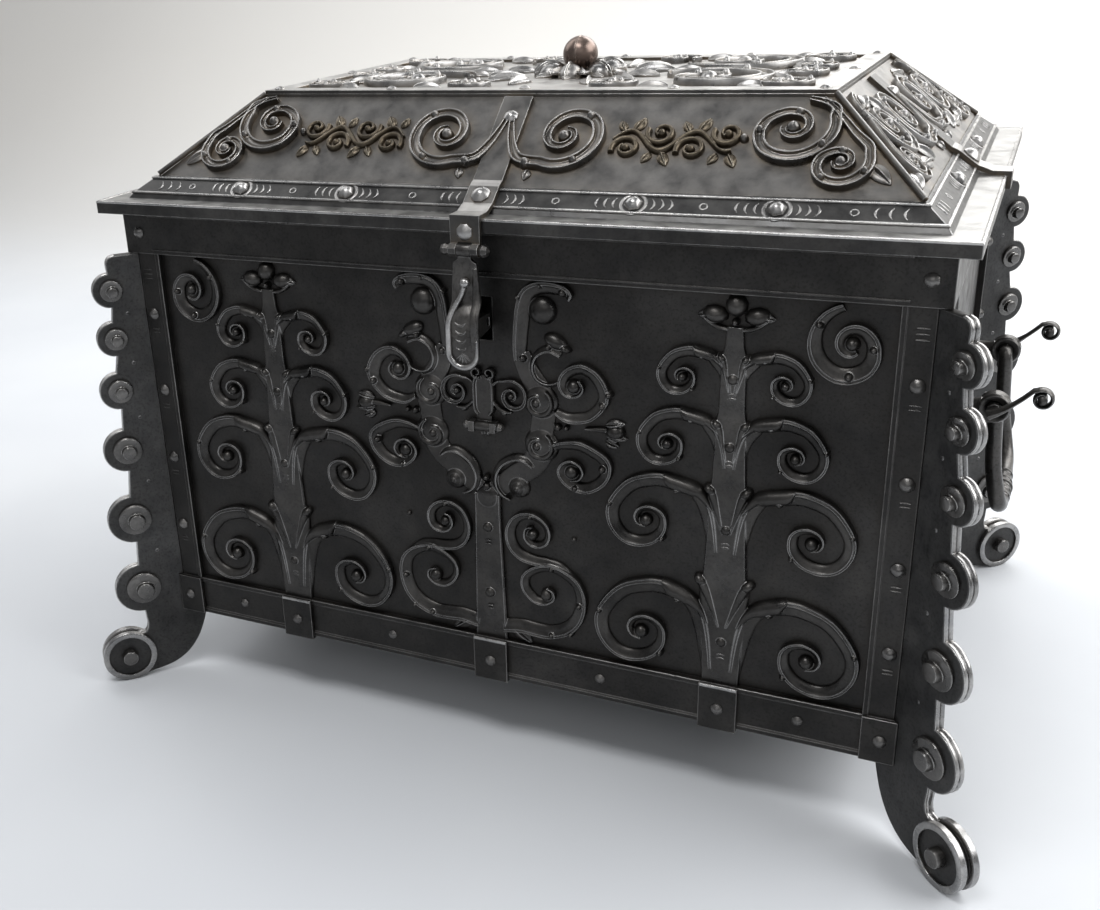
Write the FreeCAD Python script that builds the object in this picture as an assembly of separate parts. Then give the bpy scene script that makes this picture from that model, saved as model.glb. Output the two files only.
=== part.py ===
"""Wrought-iron coffer chest: sheet box, raised lid, scrolled front, diagonal corner fins.

Millimetres, +Z up, the front faces -Y. The origin lies on the floor under the middle of the box.
"""
import FreeCAD, Part
import math
import os

os.makedirs("parts", exist_ok=True)
V = FreeCAD.Vector

# Box
BOX_WIDTH = 724.0            # over the faces of the corner posts
BOX_DEPTH = 500.0
BOX_BOTTOM = 71.0            # underside of the box above the floor
BOX_TOP = 497.0              # upper edge of the walls
SHEET = 3.0                  # wall and bottom sheets
POST_THICK = 5.0
POST_FLANGE = 31.0
BEAD_WIDTH = 4.0             # raised edge of posts and rails
BEAD_HEIGHT = 1.5
TOP_RAIL_HEIGHT = 40.0
TOP_RAIL_THICK = 8.0
BOTTOM_RAIL_HEIGHT = 41.0
BOTTOM_RAIL_THICK = 6.0
BRACKET_THICK = 3.0          # corner brackets and stem clips on the bottom rail
CLIP_WIDTH = 33.0

# Corner fins: height above the box's underside, distance out from the post's corner, radius
LOBES = ((352.0, 27.0, 16.5), (304.0, 29.0, 17.0), (251.0, 32.5, 18.5),
         (188.0, 34.5, 22.0), (112.0, 38.0, 25.5), (33.0, 40.0, 27.0))
LOBE_SIDES = 10
LOBE_TOP_GAP = 17.5          # between the highest lobe and the top rail
FIN_THICK = 10.0
FIN_SEAT = 5.0               # depth of the notch in the post's corner
FIN_TOP_OUT = 21.0           # width of the plate beside the lobes, at its top and bottom
FIN_LOW_OUT = 38.0
LOBE_BOSS = 6.5
LOBE_BOSS_HEIGHT = 3.0
LEG_TOE = 24.0               # how far the leg reaches under the box
FOOT_RADIUS = 29.0
FOOT_OUT = 63.0
FOOT_THICK = 19.0
FOOT_GROOVE = 3.5
FOOT_SIDES = 12              # flat sides of the forged foot, one of them on the floor
FOOT_GROOVE_WIDTH = 7.0

# Front ornament: heights above the bottom rail, stretched to fill the panel up to the gaps
ORNAMENT_THICK = 5.0
PANEL_GAP_X = 7.8
PANEL_GAP_Z = 1.0
CHORD_DEG = 45.0             # scrolls are drawn in chords of this angle
LID_CHORD_DEG = 60.0
TREE_X = 213.0
TREE_STEM_LOW = 14.0         # half widths of the stem
TREE_STEM_HIGH = 5.0
TREE_STEM_TOP = 318.0
# height of the eye, distance from the stem, outer radius, ribbon width, radius of the eye
TREE_TIERS = ((38.0, 70.0, 52.0, 10.5, 8.0), (144.0, 67.0, 42.0, 9.5, 7.0),
              (215.0, 51.0, 31.0, 8.0, 5.5), (274.0, 40.0, 25.0, 7.0, 4.5))
CORNER_SCROLL_IN = 31.0      # eye of the corner scrolls from the post and from the top rail
CORNER_SCROLL_DOWN = 32.0
CORNER_SCROLL_RADIUS = 27.0
RIVET_RADIUS = 5.0
RIVET_HEIGHT = 3.0
POST_RIVET_HEIGHTS = (285.0, 209.0, 135.0, 60.0)  # above the bottom rail

# Lid
LID_OVERHANG_X = 18.0        # beyond the corner posts
LID_OVERHANG_Y = 20.0
LID_SEAT_GAP = 0.3           # between the walls and the closed lid
RIM_THICK = 11.0
RIM_WIDTH = 40.0
BAND_INSET = 21.0            # where the moulded band starts on the rim
BAND_LINE_LOW = (25.0, 5.0)  # inset and height of the band's two edges
BAND_LINE_HIGH = (39.7, 16.2)
BAND_BACK = 43.0
BAND_CREST = 18.0
SLOPE_FOOT = 16.5            # height where the slopes leave the band
TOP_INSET = 120.0
LID_RISE = 83.0              # upper face of the top plate above the rim
LID_SHEET = 3.0
STRAP_WIDTH = 26.0
STRAP_THICK = 4.0
TOP_STRIP_WIDTH = 20.0
TOP_STRIP_THICK = 3.0
HIP_STRIP_WIDTH = 12.0
HIP_STRIP_THICK = 3.0
SLOPE_RELIEF = 4.0
SLOPE_GAP = 19.0             # between the slopes' scrolls and their upper edge
HIP_GAP = 24.0               # between the slopes' scrolls and the hips
TOP_RELIEF = 5.0
TOP_GAP = 4.0                # between the top's scrolls and the strips round it
BAND_RIVETS_FRONT = (128.0, 237.0)
BAND_RIVETS_SIDE = (95.0,)
KNOB_RADIUS = 16.5
ROSETTE_RADIUS = 44.0
ROSETTE_THICK = 4.0

# Hinges: all pins turn with the same play
PIN_PLAY = 0.05
SIDE_PLAY = 0.4              # between knuckles, along a pin
HINGE_X = 230.0
HINGE_PIN = 3.0
HINGE_BARREL = 6.5
HINGE_LENGTH = 60.0
HINGE_BACK = 8.0             # pin axis behind the lid's edge
HINGE_DROP = 3.0             # pin axis below the top of the walls
HINGE_LEAF = 3.5
HINGE_LEAF_HEIGHT = 30.0

# Hasp and lock
HASP_PIN = 2.5
HASP_BARREL = 5.5
HASP_PIN_OUT = 5.0           # pin axis in front of the lid's edge
HASP_PIN_DROP = 24.0         # pin axis below the top of the rim
HASP_KNUCKLE = 12.0
HASP_WIDTH = 30.0
HASP_THICK = 4.0
HASP_LENGTH = 113.0          # below the pin
HASP_CRANK = 8.0             # the finger lift stands out by this much
HASP_CRANK_TOP = 43.0
HASP_CRANK_LOW = 53.0
HASP_RIM = 3.0
STAPLE_DROP = 66.0           # below the pin
STAPLE_HEIGHT = 13.0
STAPLE_WIDTH = 12.0
STAPLE_CLEAR = 1.0           # tip of the hanging staple before the front sheet
HASP_PRESS_DEG = 12.0        # the hasp is pressed in by this angle to lock
SLOT_WIDTH = 18.0
SLOT_LOW = 18.0              # the slot reaches this far below and above the staple
SLOT_HIGH = 20.0
BOLT_THICK = 4.0
BOLT_HEIGHT = 6.0
BOLT_PLAY = 0.6
BOLT_TRAVEL = 16.0
BOLT_END_GAP = 3.0           # between the drawn bolt and the staple
BOLT_GUIDE = 8.0             # thickness of the two guides
GUIDE_PLAY = 0.3
TALON_WIDTH = 6.0
LOCK_DEPTH = 27.0
LOCK_WALL = 2.5
LOCK_CLEAR = 6.5             # free room round the moving parts in the case
LOCK_BELOW = 25.0            # case below the middle of the keyhole
LOCK_TOP_DROP = 32.0         # case below the top of the walls
KEYHOLE_RISE = 238.0         # above the bottom rail, in the drawing of the front
KEYHOLE_WIDTH = 8.0
KEYHOLE_HEIGHT = 24.0
KEY_PIN = 2.5
KEY_PIN_RISE = 4.0           # above the middle of the keyhole
KEY_PIN_BACK = 4.0           # tip behind the front sheet
COVER_PIN = 2.5
COVER_PIN_DROP = 26.0        # pin axis below the middle of the keyhole
COVER_PIN_OUT = 6.0          # pin axis before the front sheet
COVER_BARREL = 4.5
COVER_KNUCKLE = 14.0
COVER_THICK = 4.0
COVER_GAP = 0.6              # behind the cover
LUG_WIDTH = 5.0

# Side handles
EYE_Y = 83.0                 # half the distance between the eyes
EYE_DROP = 168.0             # below the top of the walls
EYE_OUT = 33.0               # eye centre beyond the corner post's face
EYE_RADIUS = 13.0
EYE_LENGTH = 15.0
EYE_STEM = 6.0
EYE_FOOT = 17.0
EYE_FOOT_THICK = 4.0
BAR_RADIUS = 6.0
BAIL_DROP = 107.0            # grip below the eyes
BAIL_BOW = 13.0              # grip stands out from the eyes
STOP_REACH = 36.0
STOP_RISE = 20.0
STOP_SCROLL = 9.0

# Places worked out from the sizes above
LID_WIDTH = BOX_WIDTH + 2 * LID_OVERHANG_X
LID_DEPTH = BOX_DEPTH + 2 * LID_OVERHANG_Y
POST_X = BOX_WIDTH / 2
POST_Y = BOX_DEPTH / 2
SHEET_X = POST_X - POST_THICK
SHEET_Y = POST_Y - POST_THICK
RAIL_TOP = BOX_BOTTOM + BOTTOM_RAIL_HEIGHT
FRIEZE_BOTTOM = BOX_TOP - TOP_RAIL_HEIGHT
RIM_BOTTOM = BOX_TOP + LID_SEAT_GAP
RIM_TOP = RIM_BOTTOM + RIM_THICK
LID_TOP = RIM_TOP + LID_RISE
SLOPE_TOP = LID_RISE - LID_SHEET
SLOPE_ANGLE = math.atan2(SLOPE_TOP - SLOPE_FOOT, TOP_INSET - BAND_BACK)
HASP_Y = -LID_DEPTH / 2 - HASP_PIN_OUT
HASP_Z = RIM_TOP - HASP_PIN_DROP
HINGE_Y = LID_DEPTH / 2 + HINGE_BACK
HINGE_Z = BOX_TOP - HINGE_DROP
STAPLE_Z = HASP_Z - STAPLE_DROP
EYE_Z = BOX_TOP - EYE_DROP
SLOPE_LENGTH = math.hypot(SLOPE_TOP - SLOPE_FOOT, TOP_INSET - BAND_BACK)
HIP_SHARE = (TOP_INSET - BAND_BACK) / SLOPE_LENGTH
SIDES = {"front": 0.0, "right": 90.0, "back": 180.0, "left": 270.0}


def box(x0, x1, y0, y1, z0, z1):
    return Part.makeBox(x1 - x0, y1 - y0, z1 - z0, V(x0, y0, z0))


def prism(points, direction):
    return Part.Face(Part.makePolygon(points + [points[0]])).extrude(direction)


def along_x(outline, x0, x1):
    return prism([V(x0, y, z) for y, z in outline], V(x1 - x0, 0, 0))


def along_y(outline, y0, y1):
    return prism([V(x, y0, z) for x, z in outline], V(0, y1 - y0, 0))


def along_z(outline, z0, z1):
    return prism([V(x, y, z0) for x, y in outline], V(0, 0, z1 - z0))


def turn_z(shape, degrees):
    turned_copy = shape.copy()
    turned_copy.rotate(V(0, 0, 0), V(0, 0, 1), degrees)
    return turned_copy


def mirror_x(shape):
    return shape.mirror(V(0, 0, 0), V(1, 0, 0))


def mirror_y(shape):
    return shape.mirror(V(0, 0, 0), V(0, 1, 0))


def fused(solids):
    whole = solids[0].multiFuse(solids[1:]) if len(solids) > 1 else solids[0]
    return whole.removeSplitter()


def sewn(faces):
    """Solid from flat faces that close a volume."""
    shell = Part.makeShell(faces)
    shell.sewShape()
    solid = Part.makeSolid(shell)
    if solid.Volume < 0:
        solid.reverse()
    return solid


def flat_face(points):
    return Part.Face(Part.makePolygon(points + [points[0]]))


def cross_axes(axis):
    """Two unit vectors square to an axis."""
    helper = V(0, 0, 1) if abs(axis.z) < 0.9 else V(1, 0, 0)
    across = helper.cross(axis).normalize()
    return across, axis.cross(across).normalize()


def turned(profile, sides, base, axis, phase=0.5):
    """Turned piece with flat sides: profile holds (radius, height) from one end to the other."""
    axis = V(axis).normalize()
    across, upward = cross_axes(axis)
    rings = []
    for radius, height in profile:
        count = sides if radius > 0 else 1
        ring = []
        for i in range(count):
            angle = 2 * math.pi * (i + phase) / sides
            ring.append(base + axis * height
                        + across * (radius * math.cos(angle)) + upward * (radius * math.sin(angle)))
        rings.append(ring)
    faces = []
    for low, high in zip(rings, rings[1:]):
        for i in range(sides):
            corners = [low[i % len(low)], low[(i + 1) % len(low)],
                       high[(i + 1) % len(high)], high[i % len(high)]]
            if len(low) == 1:
                corners = corners[1:]
            elif len(high) == 1:
                corners = corners[:3]
            faces.append(flat_face(corners))
    for ring in (rings[0], rings[-1]):
        if len(ring) > 1:
            faces.append(flat_face(ring))
    return sewn(faces)


def bar(points, radius, sides=8):
    """Forged bar with flat sides, mitred at each point of its path."""
    legs = [(b - a).normalize() for a, b in zip(points, points[1:])]
    across, upward = cross_axes(legs[0])
    ring = []
    for i in range(sides):
        angle = 2 * math.pi * (i + 0.5) / sides
        ring.append(points[0] + across * (radius * math.cos(angle)) + upward * (radius * math.sin(angle)))
    rings = [ring]
    for i, leg in enumerate(legs):
        ahead = legs[i + 1] if i + 1 < len(legs) else leg
        normal = (leg + ahead).normalize()
        joint = points[i + 1]
        ring = [p + leg * ((joint - p).dot(normal) / leg.dot(normal)) for p in rings[-1]]
        rings.append(ring)
    faces = [flat_face(rings[0]), flat_face(rings[-1])]
    for low, high in zip(rings, rings[1:]):
        for i in range(sides):
            j = (i + 1) % sides
            faces.append(flat_face([low[i], low[j], high[j], high[i]]))
    return sewn(faces)


def regular(centre, radius, sides):
    """Regular polygon that stands on one of its sides."""
    outline = []
    for i in range(sides):
        angle = 2 * math.pi * (i + 0.5) / sides - math.pi / 2
        outline.append((centre[0] + radius * math.cos(angle), centre[1] + radius * math.sin(angle)))
    return outline


def mirrored(outline):
    return [(-u, v) for u, v in outline]


def shifted(outline, du, dv=0.0):
    return [(u + du, v + dv) for u, v in outline]


def offset_line(points, distance):
    """Open line moved sideways, to the left of its direction, with mitred corners."""
    moved = []
    for i, (u, v) in enumerate(points):
        normals = []
        for a, b in ((i - 1, i), (i, i + 1)):
            if a >= 0 and b < len(points):
                du, dv = points[b][0] - points[a][0], points[b][1] - points[a][1]
                length = math.hypot(du, dv)
                normals.append((-dv / length, du / length))
        nu = sum(n[0] for n in normals) / len(normals)
        nv = sum(n[1] for n in normals) / len(normals)
        scale = distance / (nu * nu + nv * nv)
        moved.append((u + nu * scale, v + nv * scale))
    return moved


def stretched(outline, across, up):
    return [(u * across, v * up) for u, v in outline]


def leaf(foot, length, width, degrees):
    """Pointed leaf on a foot, widest before its middle."""
    along = (math.cos(math.radians(degrees)), math.sin(math.radians(degrees)))
    outline = []
    for share, side in ((0, 0), (0.4, -0.5), (1, 0), (0.4, 0.5)):
        outline.append((foot[0] + share * length * along[0] - side * width * along[1],
                        foot[1] + share * length * along[1] + side * width * along[0]))
    return outline


def ribbon(points, width):
    return offset_line(points, width / 2) + offset_line(points, -width / 2)[::-1]


def volute(eye, radius, inner_radius, start, sweep, width, lead, chord):
    """Outline of a ribbon that comes in on a straight lead and winds in to its eye."""
    steps = math.ceil(abs(sweep) / chord)
    way = math.copysign(1.0, sweep)
    outer, inner = [], []
    for i in range(steps + 1):
        share = i / steps
        angle = math.radians(start + sweep * share)
        reach = radius + (inner_radius - radius) * share
        for edge, size in ((outer, reach), (inner, reach - width)):
            edge.append((eye[0] + size * math.cos(angle), eye[1] + size * math.sin(angle)))
    angle = math.radians(start)
    back = (lead * way * math.sin(angle), -lead * way * math.cos(angle))
    first = (outer[0][0] + back[0], outer[0][1] + back[1])
    last = (inner[0][0] + back[0], inner[0][1] + back[1])
    return [first] + outer + inner[::-1] + [last]


def scroll(eye, radius, start, sweep, width, eye_radius, lead=0.0, chord=CHORD_DEG):
    """A volute and the round boss in its eye."""
    coil = volute(eye, radius, eye_radius + 0.6 * width, start, sweep, width, lead, chord)
    return [coil, regular(eye, eye_radius, 6)]


def rivet(place, axis, radius=RIVET_RADIUS, height=RIVET_HEIGHT, sides=4):
    """Low rivet head, hammered to flat sides."""
    return turned([(radius, 0), (0, height)], sides, place, axis)


def save(name, solids):
    shape = solids[0] if len(solids) == 1 else Part.makeCompound(solids)
    for solid in shape.Solids:
        if not solid.isValid():
            raise ValueError(name + " holds a bad solid")
    shape.exportStep("parts/" + name + ".step")


def at_corner(shape, right, front):
    """Put a piece drawn outwards along +X from (0, 0) on one of the four corners, on the diagonal."""
    placed = turn_z(shape, -45.0)
    placed.translate(V(POST_X, -POST_Y, 0))
    if not right:
        placed = mirror_x(placed)
    if not front:
        placed = mirror_y(placed)
    return placed


CORNERS = {"front_left": (False, True), "front_right": (True, True),
           "back_left": (False, False), "back_right": (True, False)}


def fitted_lobes():
    """The lobes, spread over the height between the box's underside and the top rail."""
    drawn = max(height + radius for height, out, radius in LOBES)
    spread = (FRIEZE_BOTTOM - LOBE_TOP_GAP - BOX_BOTTOM) / drawn
    return [(BOX_BOTTOM + spread * height, out, radius) for height, out, radius in LOBES]


def fin():
    """Lobed plate with its leg and rolled foot, drawn in X and Z, seated at X = -FIN_SEAT."""
    half = FIN_THICK / 2
    foot_z = FOOT_RADIUS * math.cos(math.pi / FOOT_SIDES)
    low = BOX_BOTTOM + 9.0
    outline = [(-FIN_SEAT, FRIEZE_BOTTOM), (FIN_TOP_OUT, FRIEZE_BOTTOM), (FIN_LOW_OUT, low),
               (FOOT_OUT - 0.5 * FOOT_RADIUS, 2 * foot_z - 3), (FOOT_OUT, 2 * foot_z - 6),
               (FOOT_OUT, 4), (FOOT_OUT - 0.7 * FOOT_RADIUS, 5), (0.35 * FOOT_OUT, 13),
               (0.1 * FOOT_OUT, 0.38 * BOX_BOTTOM), (-0.25 * LEG_TOE, 0.6 * BOX_BOTTOM),
               (-0.65 * LEG_TOE, 0.78 * BOX_BOTTOM), (-LEG_TOE, 0.84 * BOX_BOTTOM),
               (-LEG_TOE, BOX_BOTTOM), (-FIN_SEAT, BOX_BOTTOM)]
    solids = [along_y(outline, -half, half)]
    lobes = fitted_lobes()
    for height, out, radius in lobes:
        solids.append(along_y(regular((out, height), radius, LOBE_SIDES), -half, half))
    foot = (FOOT_OUT, foot_z)
    flank = FOOT_THICK / 2
    groove = FOOT_GROOVE_WIDTH / 2
    solids.append(along_y(regular(foot, FOOT_RADIUS, FOOT_SIDES), groove, flank))
    solids.append(along_y(regular(foot, FOOT_RADIUS, FOOT_SIDES), -flank, -groove))
    solids.append(along_y(regular(foot, FOOT_RADIUS - FOOT_GROOVE, FOOT_SIDES), -groove, groove))
    plate = fused(solids)
    bosses = []
    for way in (1, -1):
        spots = [(out, height, half) for height, out, radius in lobes] + [(FOOT_OUT, foot_z, flank)]
        for out, height, face in spots:
            bosses.append(rivet(V(out, way * face, height), V(0, way, 0), LOBE_BOSS, LOBE_BOSS_HEIGHT, 6))
    return fused([plate] + bosses)


def fin_slot():
    return box(-FIN_SEAT, FOOT_OUT, -FIN_THICK / 2, FIN_THICK / 2, 0, BOX_TOP)


def notched(shape):
    """Clear the four corners for the fins."""
    for right, front in CORNERS.values():
        shape = shape.cut(at_corner(fin_slot(), right, front))
    return shape


def build_walls():
    front = box(-SHEET_X, SHEET_X, -SHEET_Y, -SHEET_Y + SHEET, BOX_BOTTOM, BOX_TOP)
    keyhole = box(-KEYHOLE_WIDTH / 2, KEYHOLE_WIDTH / 2, -POST_Y, 0,
                  KEYHOLE_Z - KEYHOLE_HEIGHT / 2, KEYHOLE_Z + KEYHOLE_HEIGHT / 2)
    slot = box(-SLOT_WIDTH / 2, SLOT_WIDTH / 2, -POST_Y, 0, STAPLE_Z - SLOT_LOW, STAPLE_Z + SLOT_HIGH)
    save("front_plate", [front.cut(keyhole).cut(slot)])
    save("back_plate", [box(-SHEET_X, SHEET_X, SHEET_Y - SHEET, SHEET_Y, BOX_BOTTOM, BOX_TOP)])
    inner_y = SHEET_Y - SHEET
    inner_x = SHEET_X - SHEET
    right = box(inner_x, SHEET_X, -inner_y, inner_y, BOX_BOTTOM, BOX_TOP)
    save("right_plate", [right])
    save("left_plate", [mirror_x(right)])
    save("bottom_plate", [box(-inner_x, inner_x, -inner_y, inner_y, BOX_BOTTOM, BOX_BOTTOM + SHEET)])


def build_frame():
    """Rails, posts, brackets and clips, riveted on the outside of the sheets."""
    out = TOP_RAIL_THICK
    front = box(-SHEET_X - out, SHEET_X + out, -SHEET_Y - out, -SHEET_Y, FRIEZE_BOTTOM, BOX_TOP)
    side = box(SHEET_X, SHEET_X + out, -SHEET_Y, SHEET_Y, FRIEZE_BOTTOM, BOX_TOP)
    save("top_rail_front", [front])
    save("top_rail_back", [mirror_y(front)])
    save("top_rails_side", [side, mirror_x(side)])

    thick, bead, edge = BOTTOM_RAIL_THICK, BEAD_HEIGHT, BEAD_WIDTH
    section = [(0, BOX_BOTTOM), (thick, BOX_BOTTOM), (thick, BOX_BOTTOM + edge),
               (thick - bead, BOX_BOTTOM + edge + bead), (thick - bead, RAIL_TOP - edge - bead),
               (thick, RAIL_TOP - edge), (thick, RAIL_TOP), (0, RAIL_TOP)]
    front = along_x([(-SHEET_Y - t, z) for t, z in section], -SHEET_X - thick, SHEET_X + thick)
    side = along_y([(SHEET_X + t, z) for t, z in section], -SHEET_Y, SHEET_Y)
    front, side = notched(front), notched(side)
    save("bottom_rail_front", [front])
    save("bottom_rail_back", [mirror_y(front)])
    save("bottom_rails_side", [side, mirror_x(side)])

    inner_x, inner_y = POST_X - POST_FLANGE, POST_Y - POST_FLANGE
    plan = [(inner_x, -SHEET_Y), (inner_x, -POST_Y - bead), (inner_x + edge, -POST_Y - bead),
            (inner_x + edge, -POST_Y), (POST_X, -POST_Y), (POST_X, -inner_y - edge),
            (POST_X + bead, -inner_y - edge), (POST_X + bead, -inner_y), (SHEET_X, -inner_y),
            (SHEET_X, -SHEET_Y)]
    post = notched(along_z(plan, RAIL_TOP, FRIEZE_BOTTOM))
    pair = [post, mirror_x(post)]
    save("corner_posts_front", pair)
    save("corner_posts_back", [mirror_y(p) for p in pair])

    face = thick + BRACKET_THICK
    front = box(inner_x, SHEET_X + face, -SHEET_Y - face, -SHEET_Y - thick, BOX_BOTTOM, RAIL_TOP)
    side = box(SHEET_X + thick, SHEET_X + face, -SHEET_Y - thick, -inner_y, BOX_BOTTOM, RAIL_TOP)
    corner = [notched(front), notched(side)]
    corner += [mirror_x(p) for p in corner]
    save("corner_brackets", corner + [mirror_y(p) for p in corner])

    hook = [(-SHEET_Y - thick, RAIL_TOP), (-SHEET_Y - face, RAIL_TOP),
            (-SHEET_Y - face, BOX_BOTTOM - BRACKET_THICK), (-SHEET_Y, BOX_BOTTOM - BRACKET_THICK),
            (-SHEET_Y, BOX_BOTTOM), (-SHEET_Y - thick, BOX_BOTTOM)]
    clip = along_x(hook, -CLIP_WIDTH / 2, CLIP_WIDTH / 2)
    clips = [clip]
    for way in (-1, 1):
        copy = clip.copy()
        copy.translate(V(way * TREE_X * FRONT_ACROSS, 0, 0))
        clips.append(copy)
    save("stem_clips", clips)


def build_fins():
    plain = fin()
    for name, (right, front) in CORNERS.items():
        save("corner_fin_" + name, [at_corner(plain, right, front)])


def on_front(outlines):
    """Raised iron ornament on the front sheet, from outlines in heights above the bottom rail."""
    placed = [shifted(stretched(o, FRONT_ACROSS, FRONT_UP), 0, RAIL_TOP) for o in outlines]
    return fused([along_y(o, -SHEET_Y, -SHEET_Y - ORNAMENT_THICK) for o in placed])


def tree():
    """Stem with tiers of paired scrolls, leaf buds and a three-petalled head, about X = 0."""
    top = TREE_STEM_TOP
    low, high = TREE_STEM_LOW, TREE_STEM_HIGH
    outlines = [[(-low, 0), (low, 0), (high, top), (-high, top)],
                [(0, top - 4), (9, top + 11), (0, top + 26), (-9, top + 11)]]
    right_half = [[(0, top - 6), (12, top - 4), (24, top + 8), (12, top + 14)]]
    for eye_z, off, radius, width, eye_radius in TREE_TIERS:
        corner = radius * math.sqrt(0.5)
        lead = (off - corner) / math.sqrt(0.5)
        right_half += scroll((off, eye_z), radius, 135.0, -420.0, width, eye_radius, lead)
        bud = eye_z + 0.55 * radius
        right_half.append([(0, bud - 6), (0.3 * radius, bud + 0.15 * radius),
                           (0.22 * radius, bud + 0.5 * radius), (0, bud + 0.1 * radius)])
    return outlines + right_half + [mirrored(o) for o in right_half]


def centre():
    """Stem with S-scrolls, and above it the open shield of scrolls round the keyhole."""
    half = scroll((51, 52), 31.0, 135.0, -420.0, 8.5, 6.0, 50.0)
    half += scroll((41, 113), 20.0, 225.0, -390.0, 6.0, 4.0, 38.0)
    half += scroll((31, 157), 13.0, 190.0, -330.0, 4.5, 4.5, 22.0)
    half += scroll((80, 176), 27.0, 150.0, -420.0, 7.5, 5.5, 26.0)
    half += scroll((82, 256), 28.0, 215.0, -420.0, 7.5, 5.5, 22.0)
    half += scroll((55, 320), 21.0, 215.0, -330.0, 6.0, 7.0, 24.0)
    half.append(ribbon([(4, 134), (24, 163), (50, 188), (47, 219), (50, 240), (38, 270), (35, 308)], 10.0))
    half.append(ribbon([(90, 244), (107, 222), (91, 192)], 8.0))
    half.append([(102, 222), (110, 212), (126, 221), (112, 232)])
    half.append(regular((51, 238), 11.0, 8))
    half.append(regular((51, 199), 11.0, 8))
    stem = [(-14, 0), (14, 0), (9, 156), (-9, 156)]
    return [stem] + half + [mirrored(o) for o in half]


def panel_fit():
    """Stretch that makes the drawn trees fill the panel between posts, bottom rail and top rail."""
    points = [point for outline in tree() for point in shifted(outline, TREE_X)]
    reach = max(u for u, v in points)
    height = max(v for u, v in points)
    across = (POST_X - POST_FLANGE - PANEL_GAP_X) / reach
    up = (FRIEZE_BOTTOM - RAIL_TOP - PANEL_GAP_Z) / height
    return across, up


# The keyhole and its cover keep their place in the ornament
FRONT_ACROSS, FRONT_UP = panel_fit()
KEYHOLE_Z = RAIL_TOP + KEYHOLE_RISE * FRONT_UP
COVER_PIN_Z = KEYHOLE_Z - COVER_PIN_DROP
LOCK_BOTTOM = KEYHOLE_Z - LOCK_BELOW


def build_front_ornament():
    outlines = tree()
    save("tree_scroll_right", [on_front([shifted(o, TREE_X) for o in outlines])])
    save("tree_scroll_left", [on_front([shifted(o, -TREE_X) for o in outlines])])
    save("centre_scroll", [on_front(centre())])
    eye_u = (POST_X - POST_FLANGE) / FRONT_ACROSS - CORNER_SCROLL_IN
    eye_v = (FRIEZE_BOTTOM - RAIL_TOP) / FRONT_UP - CORNER_SCROLL_DOWN
    corner = scroll((eye_u, eye_v), CORNER_SCROLL_RADIUS, 200.0, 480.0, 7.5, 5.0)
    save("corner_scrolls", [on_front(corner), on_front([mirrored(o) for o in corner])])


def build_frame_rivets():
    heads = []
    post_mid = POST_FLANGE / 2
    bracket_z = (BOX_BOTTOM + RAIL_TOP) / 2
    frieze_z = (FRIEZE_BOTTOM + BOX_TOP) / 2
    bracket_out = BOTTOM_RAIL_THICK + BRACKET_THICK
    for way in (-1, 1):
        x = way * (POST_X - post_mid)
        for rise in POST_RIVET_HEIGHTS:
            z = RAIL_TOP + rise * FRONT_UP
            heads.append(rivet(V(x, -POST_Y, z), V(0, -1, 0)))
            heads.append(rivet(V(x, POST_Y, z), V(0, 1, 0)))
            for end in (-1, 1):
                heads.append(rivet(V(way * POST_X, end * (POST_Y - post_mid), z), V(way, 0, 0)))
        heads.append(rivet(V(x, -SHEET_Y - TOP_RAIL_THICK, frieze_z), V(0, -1, 0)))
        heads.append(rivet(V(x, -SHEET_Y - bracket_out, bracket_z), V(0, -1, 0)))
        ornament = V(0, -SHEET_Y - ORNAMENT_THICK, 0)
        for eye_z, off, radius, width, eye_radius in TREE_TIERS:
            spot = V(way * TREE_X * FRONT_ACROSS, 0, RAIL_TOP + (eye_z + 5) * FRONT_UP)
            heads.append(rivet(spot + ornament, V(0, -1, 0)))
    for way in (-1, 0, 1):
        spot = V(way * TREE_X * FRONT_ACROSS, -SHEET_Y - bracket_out, bracket_z)
        heads.append(rivet(spot, V(0, -1, 0)))
    save("frame_rivets", heads)


def lid_run(section, side):
    """Strip round one side of the lid, mitred: section holds (inset, height above the rim)."""
    across = side in ("front", "back")
    length, depth = (LID_WIDTH, LID_DEPTH) if across else (LID_DEPTH, LID_WIDTH)
    run = along_x([(inset - depth / 2, RIM_TOP + height) for inset, height in section],
                  -length / 2, length / 2)
    deep = max(inset for inset, height in section)
    mitre = along_z([(-length / 2, -depth / 2), (length / 2, -depth / 2),
                     (length / 2 - deep, deep - depth / 2), (deep - length / 2, deep - depth / 2)],
                    0, 2 * LID_TOP)
    return turn_z(run.common(mitre), SIDES[side])


def save_runs(name, section):
    save(name + "_front", [lid_run(section, "front")])
    save(name + "_back", [lid_run(section, "back")])
    save(name + "_sides", [lid_run(section, "left"), lid_run(section, "right")])


def slope_line(inset):
    """Height of the sloped sheet's outer face."""
    return SLOPE_FOOT + (inset - BAND_BACK) * math.tan(SLOPE_ANGLE)


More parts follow.
